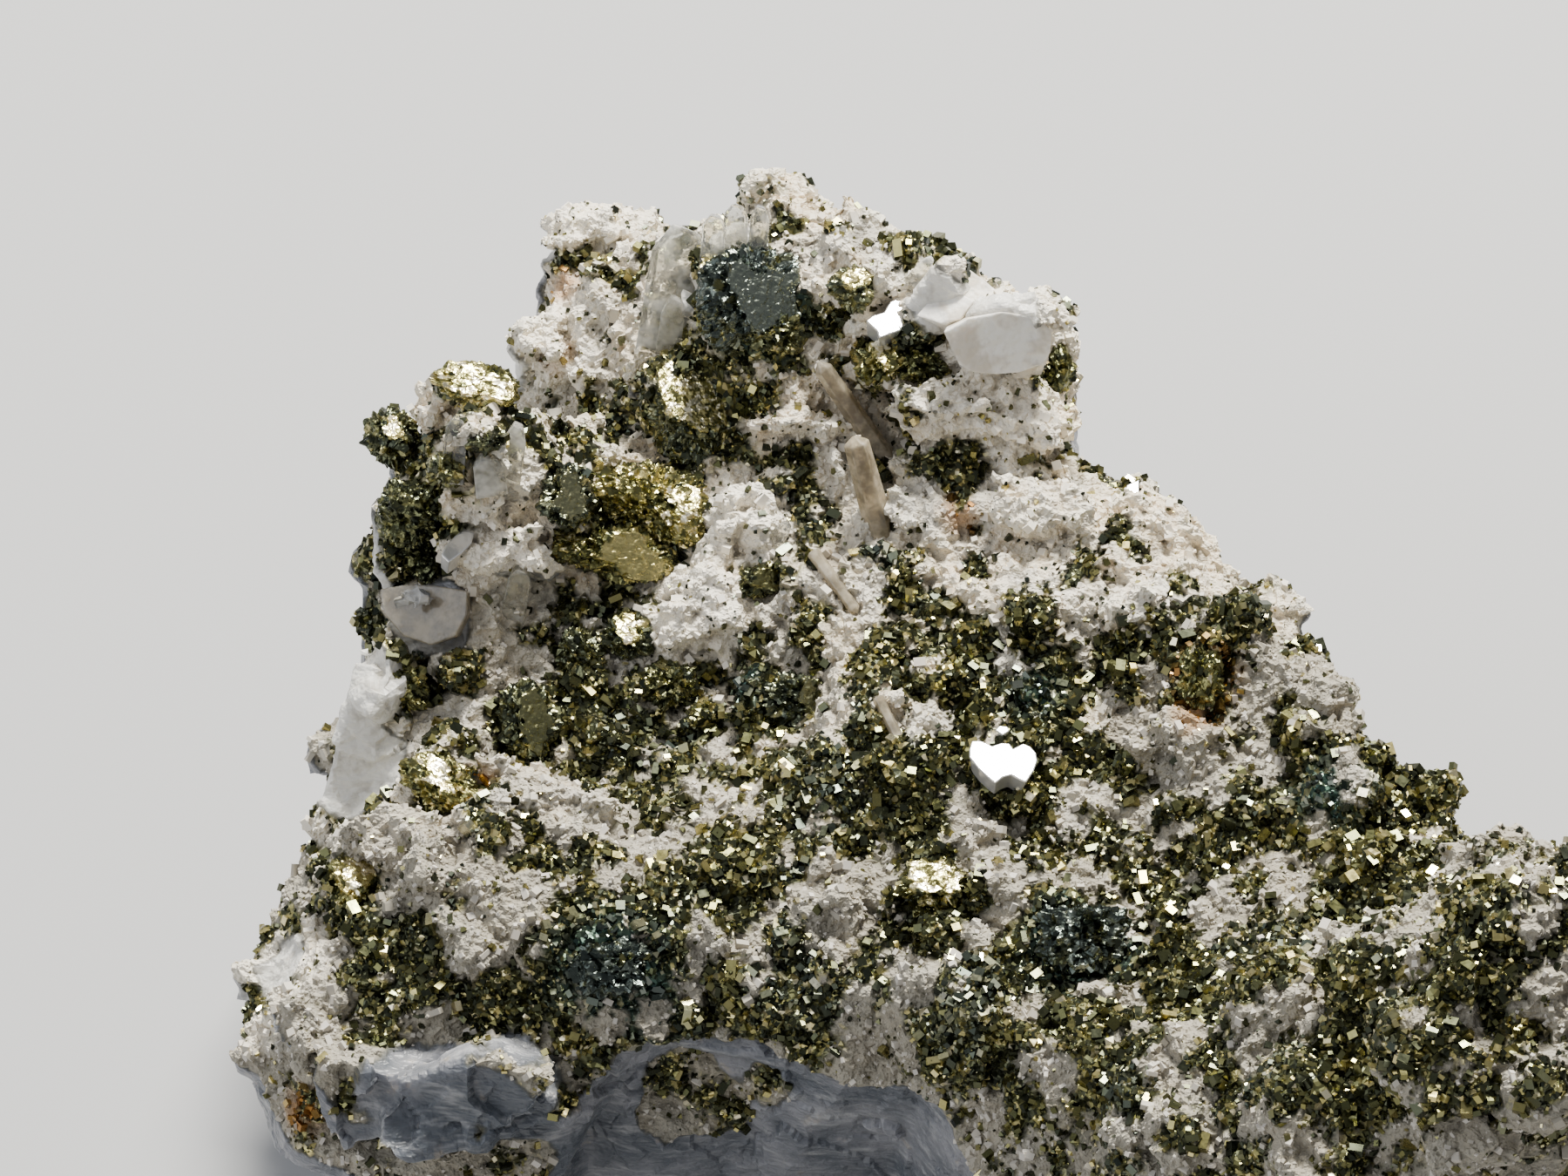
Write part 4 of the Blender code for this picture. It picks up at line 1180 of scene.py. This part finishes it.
def nearest_kind(points, corners, pyrite):
    """For each point: 1 on a pyrite nodule, -1 on a chalk one, 0 away from them all."""
    finder = KDTree(len(corners))
    for count, corner in enumerate(corners):
        finder.insert(corner, count)
    finder.balance()
    kinds = np.zeros(len(points))
    for index, point in enumerate(points):
        _, corner, away = finder.find(point)
        if away < NODULE_REACH:
            kinds[index] = 1 if pyrite[corner] else -1
    return kinds


def merged_copy(specimen, name):
    """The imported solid's mesh as an object of its own, with its triangles joined."""
    mesh = bmesh.new()
    mesh.from_mesh(specimen.data)
    bmesh.ops.remove_doubles(mesh, verts=mesh.verts, dist=1e-6)
    return show(name, settled(mesh, name))


def set_attribute(mesh, name, values):
    made = mesh.attributes.new(name, "FLOAT", "POINT")
    made.data.foreach_set("value", np.asarray(values, dtype=np.float32))


def vectors_of(mesh, name):
    """A vector of each vertex, by name, as rows."""
    vectors = np.empty(len(mesh.vertices) * 3)
    mesh.vertices.foreach_get(name, vectors)
    return vectors.reshape(-1, 3)


def points_of(mesh):
    return vectors_of(mesh, "co") / MM


def smooth_guide(specimen, crystals, corners, faces):
    """The solid and its nodules as one mesh of fine cells, its facets softened."""
    guide = without_crystals(merged_copy(specimen, "rock_guide"), crystals)
    guide = joined(guide, corners, faces)
    remesh = guide.modifiers.new("cells", "REMESH")
    remesh.mode = "VOXEL"
    remesh.voxel_size = ROCK_CELL * MM
    soften = guide.modifiers.new("soften", "SMOOTH")
    soften.factor = 0.5
    soften.iterations = 3
    return plain(guide, "rock_guide")


def crust_tree(finish):
    """Raises lumps and grains over the druse, and steps over the massive calcite."""
    heights = {"Lumps": 0.14, "Knobs": 0.16, "Grains": 0.10, "Steps": 0.30, "Bare": 0.25, "Low": 0.22}
    grow = Grower("crust", heights)
    place = grow.place()
    torn = (grow.noise(place, 0.9, 5.0, 0.65) - 0.5) * 1.1
    massive = (grow.attribute("massive_guide") + torn).rise(0.38, 0.62)
    zone = grow.attribute("pyrite_guide")
    warp = grow.add("ShaderNodeTexNoise", None, {"Vector": place, "Scale": 1.1}).outputs[1]
    bent = grow.vector("ADD", place, grow.scaled(warp, 0.9))
    lumps = 1 - grow.cells(bent, 0.85) * 1.25
    knobs = 1 - grow.cells(bent, 2.3) * 1.3
    grains = 1 - grow.cells(bent, 5.0) * 1.3
    ragged = grow.noise(place, 2.6, 4.0, 0.7)
    broad = grow.noise(place, 0.35, 4.0, 0.55)
    relief = lumps.most(0) ** 0.7
    mixing = grow.noise(place, 1.3, 4.0, 0.68) * 2.0 - 1.0
    mask = (zone + mixing).rise(0.42, 0.56)
    druse = (
        (relief - 0.45) * grow.number("Lumps")
        + (knobs - 0.4) * grow.number("Knobs")
        + (grains - 0.4) * grow.number("Grains")
        + (ragged - 0.5) * (1 - mask) * 0.45
        + (broad - 0.5) * 0.5
    )
    bare = grow.attribute("bare").rise(0.3, 0.9)
    druse = druse * (1 - bare) - bare * grow.number("Bare")
    druse = druse - grow.attribute("low") * grow.number("Low")
    steps = cleavage_steps(grow, place, 0.42) + cleavage_steps(grow, place, 1.1) * 0.4
    chipped = (ragged - 0.5) * 0.10
    height = druse * (1 - massive) + (steps * grow.number("Steps") + chipped) * massive
    normal = grow.add("GeometryNodeInputNormal").outputs[0]
    sockets = {"Geometry": grow.inputs["Geometry"], "Offset": grow.scaled(normal, height * MM)}
    moved = grow.add("GeometryNodeSetPosition", None, sockets).outputs[0]
    stored = grow.store(moved, "pyrite", mask * (1 - massive))
    stored = grow.store(stored, "massive", massive)
    grow.finish(stored, finish)
    return grow


def cleavage_steps(grow, place, scale):
    """Straight-edged steps about 0, as calcite breaks along its slanting cleavage."""
    turned = [grow.dot(place, way) for way in CLEAVAGE_WAYS]
    slanted = grow.add("ShaderNodeCombineXYZ", None, dict(enumerate(turned))).outputs[0]
    sockets = {"Vector": slanted, "Scale": scale, "Randomness": 0.8}
    cells = grow.add("ShaderNodeTexVoronoi", {"distance": "CHEBYCHEV"}, sockets)
    split = grow.add("FunctionNodeSeparateColor", None, {0: cells.outputs["Color"]})
    return Value(grow, split.outputs[0]) - 0.5


def smoothed(mesh, values, rounds):
    """Values of each point, averaged with its neighbours' so many times."""
    ends = np.empty(len(mesh.edges) * 2, dtype=np.int64)
    mesh.edges.foreach_get("vertices", ends)
    first, second = ends.reshape(-1, 2).T
    count = len(values)
    near = np.bincount(first, minlength=count) + np.bincount(second, minlength=count)
    values = values.copy()
    for _ in range(rounds):
        for axis in range(values.shape[1]):
            column = values[:, axis]
            total = np.bincount(first, column[second], count)
            total += np.bincount(second, column[first], count)
            values[:, axis] = total / np.maximum(near, 1)
    return values


def standing_out(mesh):
    """How far each point stands out of the ground around it, below 0 in hollows."""
    points, normals = points_of(mesh), vectors_of(mesh, "normal")
    ground = smoothed(mesh, np.hstack((points, normals)), HOLLOW_ROUNDS)
    return ((points - ground[:, :3]) * ground[:, 3:]).sum(axis=1)


def half_of(mesh, sign, name):
    """The closed part of a mesh on one side of the plane where the rock's halves meet."""
    half = bmesh.new()
    half.from_mesh(mesh)
    place = ((ROCK_SPLIT + sign * ROCK_OVERLAP) * MM, 0, 0)
    rim = cut_rim(half, place, (sign, 0, 0), 1e-9, clear_outer=True)
    bmesh.ops.edgeloop_fill(half, edges=rim)
    return show(name, settled(half, name))


def rock(specimen, tree, crystals, finish):
    """The chunk in two halves, without what stands on it."""
    corners, faces, kinds = nodules(tree, crystals)
    guide = smooth_guide(specimen, crystals, corners, faces)
    points = points_of(guide.data)
    facing = smoothed(guide.data, vectors_of(guide.data, "normal"), WALL_ROUNDS)
    upward = facing[:, 2] / np.linalg.norm(facing, axis=1)
    pyrite = PYRITE_SHARE + PYRITE_SWAY * near_patches(tree, points, PYRITE_PATCHES)
    pyrite -= PYRITE_SWAY * near_patches(tree, points, CHALK_PATCHES)
    pyrite += PYRITE_SWAY * nearest_kind(points, corners, kinds)
    across, deep, height = points.T
    aside = np.clip(np.maximum(across - ASIDE_FROM, deep - BEHIND_FROM), 0, 1)
    low = np.clip((ASIDE_BELOW - height) / ASIDE_FADE, 0, 1)
    leaning = WALL_FACING + ASIDE_FACING * aside * low
    wall = np.clip((leaning - upward) / WALL_FADE, 0, 1)
    wall *= 1 - WALL_TOP_SHARE * np.clip((height - WALL_TOP) / WALL_TOP_FADE, 0, 1)
    massive = np.maximum(wall, near_patches(tree, points, MASSIVE_PATCHES))
    massive *= 1 - near_patches(tree, points, WALL_DRUSE_PATCHES)
    set_attribute(guide.data, "pyrite_guide", pyrite)
    set_attribute(guide.data, "massive_guide", massive)
    masses = []
    for right, up, across, high, *_ in PYRITE_MASSES:
        masses.append((right, up, (across + high) / 2 * MASS_BARE_SHARE))
    for name, patches in (
        ("bare", BARE_PATCHES + masses),
        ("dirty", DIRT_AND_SHADE_PATCHES),
        ("low", LOW_PATCHES),
        ("rust", RUST_PATCHES),
        ("teal", TEAL_PATCHES),
        ("white", WHITE_PATCHES),
    ):
        set_attribute(guide.data, name, near_patches(tree, points, patches))
    made = crust_tree(finish).run_on(guide, "rock")
    set_attribute(made.data, "stands_out", standing_out(made.data))
    halves = []
    for sign, name in ((1, "rock_left"), (-1, "rock_right")):
        half = half_of(made.data, sign, name)
        count = sum(len(face.vertices) - 2 for face in half.data.polygons)
        thin = half.modifiers.new("thin", "DECIMATE")
        thin.ratio = min(1.0, ROCK_TRIANGLES / count)
        halves.append(paint(plain(half, name), finish))
    bpy.data.objects.remove(made)
    return halves


def crystal_shapes():
    """The small crystals' unit shapes, in a collection that nothing shows."""
    cube = [(x, y, z) for x in (-1, 1) for y in (-1, 1) for z in (-1, 1)]
    tip = OCTAHEDRON_TIP
    octahedron = [(tip, 0, 0), (-tip, 0, 0), (0, tip, 0), (0, -tip, 0), (0, 0, tip), (0, 0, -tip)]
    shapes = bpy.data.collections.new("crystal_shapes")
    for name, corners, high in (
        ("cube", cube, 1.0),
        ("long_cube", cube, 1.7),
        ("octahedron", octahedron, 1.0),
        ("flat_octahedron", octahedron, 0.6),
    ):
        mesh = hull_mesh([(x, y, z * high) for x, y, z in corners])
        shapes.objects.link(bpy.data.objects.new(name, settled(mesh, name)))
    return shapes


def scatter_tree(name, shapes, finish, wants_pyrite):
    """Small crystals over the rock, thick where its pyrite mask says so, or not."""
    numbers = {"Density": 20.0, "Smallest": 0.05, "Largest": 0.2, "Seed": 1}
    grow = Grower(name, numbers)
    mask = grow.attribute("pyrite")
    massive = grow.attribute("massive")
    share = mask if wants_pyrite else 1 - mask
    share = share.rise(0.4, 0.7) * (1 - massive.rise(0.2, 0.5))
    share = share * (1 - grow.attribute("bare").rise(0.5, 0.7))
    seed = grow.number("Seed")
    # The density is by the square metre.
    density = grow.number("Density") * share * 1e6
    sockets = {"Mesh": grow.inputs["Geometry"], "Density": density, "Seed": seed}
    spread = grow.add("GeometryNodeDistributePointsOnFaces", None, sockets)
    chance = grow.random(0.0, 1.0, seed + 1)
    smallest = grow.number("Smallest")
    size = smallest + (grow.number("Largest") - smallest) * chance**3
    sockets = {"Collection": shapes, "Separate Children": True, "Reset Children": True}
    info = grow.add("GeometryNodeCollectionInfo", None, sockets)
    turn = grow.random((0, 0, 0), (math.tau,) * 3, seed + 2, "FLOAT_VECTOR")
    stretch = grow.random(LEAST_STRETCH, MOST_STRETCH, seed + 3, "FLOAT_VECTOR")
    sockets = {
        "Points": spread.outputs["Points"],
        "Instance": info.outputs[0],
        "Pick Instance": True,
        "Rotation": turn,
        "Scale": grow.scaled(stretch, size * MM),
    }
    placed = grow.add("GeometryNodeInstanceOnPoints", None, sockets).outputs[0]
    toned = grow.store(placed, "tone", grow.random(0.0, 1.0, seed + 4), "INSTANCE")
    grow.finish(toned, finish)
    return grow


def paint(piece, finish):
    piece.data.materials.clear()
    piece.data.materials.append(finish)
    return piece


def crystals_of(crystals, wanted):
    """The bmeshes of the placed crystals of one kind."""
    for crystal in crystals:
        if crystal[0] == wanted:
            yield crystal_hull(*crystal)


def slabs_of(tree, wanted):
    """The bmeshes of the slabs of one kind."""
    for facing, thick, lift, kind, outline in SLABS:
        if kind == wanted:
            way = (VIEW_FRAME @ Vector(facing)).normalized()
            middle = seen(tree, *middle_of(outline)) + way * lift
            yield slab_mesh(outline, middle, way, thick)


def middle_of(outline):
    return [sum(point[axis] for point in outline) / len(outline) for axis in (0, 1)]


def slab_mesh(outline, middle, face, thick):
    """A slab whose front has an outline in the view, and whose back is a little smaller."""
    mesh = bmesh.new()
    front, back = [], []
    for right, up in outline:
        way = sight(right, up)
        corner = EYE + way * ((middle - EYE).dot(face) / way.dot(face))
        front.append(mesh.verts.new(corner))
        back.append(mesh.verts.new(corner - face * thick - (corner - middle) * SLAB_TAPER))
    mesh.faces.new(front)
    mesh.faces.new(back[::-1])
    for count, corner in enumerate(front):
        before = count - 1
        mesh.faces.new((front[before], corner, back[count], back[before]))
    bmesh.ops.recalc_face_normals(mesh, faces=mesh.faces)
    return mesh


def arrays_of(mesh):
    """A bmesh as arrays of corners and of triangles. The bmesh is freed."""
    bmesh.ops.triangulate(mesh, faces=mesh.faces)
    mesh.verts.index_update()
    corners = np.array([vertex.co for vertex in mesh.verts])
    faces = np.array([[vertex.index for vertex in face.verts] for face in mesh.faces])
    mesh.free()
    return corners, faces


def one_piece(meshes, name, finish):
    """Some bmeshes as one piece, with flat faces joined and edges bevelled."""
    whole = bmesh.new()
    for mesh in meshes:
        bmesh.ops.dissolve_limit(
            mesh, angle_limit=math.radians(2), verts=mesh.verts, edges=mesh.edges
        )
        bmesh.ops.bevel(
            mesh,
            geom=mesh.edges[:],
            offset=CRYSTAL_EDGE,
            offset_type="OFFSET",
            segments=2,
            profile=0.6,
            affect="EDGES",
            clamp_overlap=True,
        )
        data = settled(mesh, "part_of_a_whole")
        whole.from_mesh(data)
        bpy.data.meshes.remove(data)
    bmesh.ops.recalc_face_normals(whole, faces=whole.faces)
    bmesh.ops.scale(whole, vec=(MM, MM, MM), verts=whole.verts)
    return paint(show(name, settled(whole, name)), finish)


def to_the_light(place):
    """The way that a face at a place looks to throw the key light at the front view."""
    to_light = (Vector(KEY_PLACE) - place).normalized()
    return (to_light + (EYE - place).normalized()).normalized()


def mirrors(tree):
    """The bmeshes of the polished faces, turned so that the key light meets the front view."""
    for outline in MIRROR_FACES:
        middle = seen(tree, *middle_of(outline))
        face = to_the_light(middle)
        yield slab_mesh(outline, middle + face * MIRROR_LIFT, face, MIRROR_THICK)


def pyrite_mass(tree, rng, row):
    """A pyrite mass broken up into facets, as (corners, triangles, tones, tarnish)."""
    right, up, across, high, deep, degrees, cell, tone, blue, flat, lit = row
    area = across * high
    corners, faces = unit_lump(4 + (area > MEDIUM_AREA) + (area > LARGE_AREA))
    middle = seen(tree, right, up) - TO_EYE * deep * MASS_SINK
    turn = np.array(VIEW_FRAME @ Matrix.Rotation(math.radians(degrees), 3, "Z"))
    flat_way = np.array(to_the_light(middle) if lit else VIEW_FRAME @ MASS_FLAT_WAY)
    offset = Vector(rng.uniform(-NOISE_RANGE, NOISE_RANGE, 3))
    swell = [1 + MASS_SWELL * noise.noise(Vector(corner) * MASS_SCALE + offset) for corner in corners]
    shape = corners * np.array(swell)[:, None] * (across, high, deep) @ turn.T
    flat_at = flat * (across * high * deep) ** (1 / 3)
    beyond = np.maximum(shape @ flat_way - flat_at, 0) * (flat < 1)
    shape = shape - beyond[:, None] * flat_way * MASS_CUT
    area = 4 * math.pi * (across * high * deep) ** (2 / 3)
    facet_count = min(int(area / cell**2), len(shape) // 3)
    seeds = rng.choice(len(shape), facet_count, replace=False)
    finder = KDTree(len(seeds))
    for index, seed in enumerate(seeds):
        finder.insert(shape[seed], index)
    finder.balance()
    nearest = np.array([finder.find(corner)[1] for corner in shape])
    cut = beyond[seeds] > 0
    tilts = rng.normal(0, 1, (len(seeds), 3))
    tilts *= np.where(cut, LIT_FACET if lit else SATIN_FACET, MASS_FACET)[:, None]
    steps = rng.uniform(-FACET_STEP, FACET_STEP, len(seeds)) * cell * np.where(cut, CUT_STEP, 1)
    away = shape - shape[seeds][nearest]
    lift = (tilts[nearest] * away).sum(axis=1) + steps[nearest]
    outward = corners @ turn.T
    shape = shape + outward * np.clip(lift, -cell, cell)[:, None]
    # Cuts turned to the key light get a bright tone and no tarnish: a painted highlight.
    shade = np.where(cut, LIT_HIGHLIGHT_TONE if lit else tone + SATIN_LIFT, tone)
    spread = np.where(cut & (not lit), SATIN_SPREAD, TONE_SPREAD)
    shade = np.clip(shade + rng.normal(0, 1, len(seeds)) * spread, 0, 1)
    tinged = blue * ((rng.random(len(seeds)) > BRASS_SHARE) | cut) * ~(cut & lit)
    return shape + np.array(middle), faces, shade[nearest], tinged[nearest]


def pyrite_masses(tree, finish):
    """The larger pyrite masses."""
    rng = np.random.default_rng(SEED)
    noise.seed_set(SEED)
    masses = [pyrite_mass(tree, rng, row) for row in PYRITE_MASSES]
    corners, faces, tones, tarnish = stacked(masses)
    data = bpy.data.meshes.new("pyrite_masses")
    data.from_pydata((corners * MM).tolist(), [], faces.tolist())
    set_attribute(data, "tone", tones)
    set_attribute(data, "tarnish", tarnish)
    return paint(show("pyrite_masses", data), finish)


def keep(piece, slot):
    """Hands a finished piece to the frame."""
    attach(piece, "root")
    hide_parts(NODE)


def add_floor():
    mesh = bpy.data.meshes.new("floor")
    side = FLOOR_HALF
    corners = [(-side, -side, 0), (side, -side, 0), (side, side, 0), (-side, side, 0)]
    mesh.from_pydata(corners, [], [(0, 1, 2, 3)])
    floor = show("floor", mesh)
    finish = bpy.data.materials.new("pale_floor")
    finish.use_nodes = True
    shader = finish.node_tree.nodes["Principled BSDF"]
    shader.inputs["Base Color"].default_value = FLOOR_COLOUR
    shader.inputs["Roughness"].default_value = 0.8
    mesh.materials.append(finish)
    floor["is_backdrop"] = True


def add_lights():
    """Soft square lights turned to the specimen, and a pale sky."""
    for name, (place, size, power, colour) in LIGHTS.items():
        light = bpy.data.lights.new(name, "AREA")
        light.size = size * MM
        light.energy = power
        light.color = colour
        made = show(name, light)
        made.location = Vector(place) * MM
        made.rotation_euler = (LIGHTS_AIM - Vector(place)).to_track_quat("-Z", "Y").to_euler()
    world = bpy.data.worlds.new("studio")
    world.use_nodes = True
    sky = world.node_tree.nodes["Background"]
    sky.inputs["Color"].default_value = SKY_COLOUR
    sky.inputs["Strength"].default_value = SKY_STRENGTH
    bpy.context.scene.world = world


def add_camera():
    data = bpy.data.cameras.new("camera")
    data.sensor_width = SENSOR_WIDTH
    data.lens = VIEW_DISTANCE
    data.clip_start = 0.01
    camera = show("camera", data)
    camera.location = EYE * MM
    camera.rotation_euler = (math.pi / 2 - VIEW_ELEVATION, 0, 0)
    bpy.context.scene.camera = camera


def main():
    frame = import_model()
    solid_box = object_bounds()
    specimen = frame["nodes"][NODE]
    tree = solid_tree(specimen)
    crystals = placed_crystals(tree)
    halves = rock(specimen, tree, crystals, rock_material())
    keep(pyrite_masses(tree, pyrite_material("pyrite_of_masses", True)), "pyrite")
    cloudy = cloudy_material()
    for name, meshes, finish, slot in (
        ("clear_crystals", crystals_of(crystals, "tablet"), clear_material(), "clear_calcite"),
        ("calcite_prisms", crystals_of(crystals, "prism"), cloudy, "clear_calcite"),
        ("cloudy_lens", slabs_of(tree, "dull"), cloudy, "clear_calcite"),
        ("pale_slabs", slabs_of(tree, "pale"), pale_material(), "calcite"),
        ("mirror_faces", mirrors(tree), mirror_material(), "clear_calcite"),
    ):
        keep(one_piece(meshes, name, finish), slot)
    shapes = crystal_shapes()
    pyrite = pyrite_material("pyrite", False)
    growers = {
        "pyrite_crystals": scatter_tree("pyrite_crystals", shapes, pyrite, True),
        "pyrite_specks": scatter_tree("pyrite_specks", shapes, pyrite, False),
        "chalk_grains": scatter_tree("chalk_grains", shapes, chalk_material(), False),
    }
    for side, half in zip(("left", "right"), halves):
        keep(half, "calcite")
        for kind, slot, density, smallest, largest, seed in SCATTERED:
            name = f"{kind}_{side}"
            numbers = {"Density": density, "Smallest": smallest, "Largest": largest, "Seed": seed}
            keep(growers[kind].run_on(show(name, half.data.copy()), name, **numbers), slot)
    add_floor()
    add_lights()
    add_camera()
    sizes = {"solid": solid_box, "looks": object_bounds()}
    listed = {name: [list(corner) for corner in box] for name, box in sizes.items()}


main()
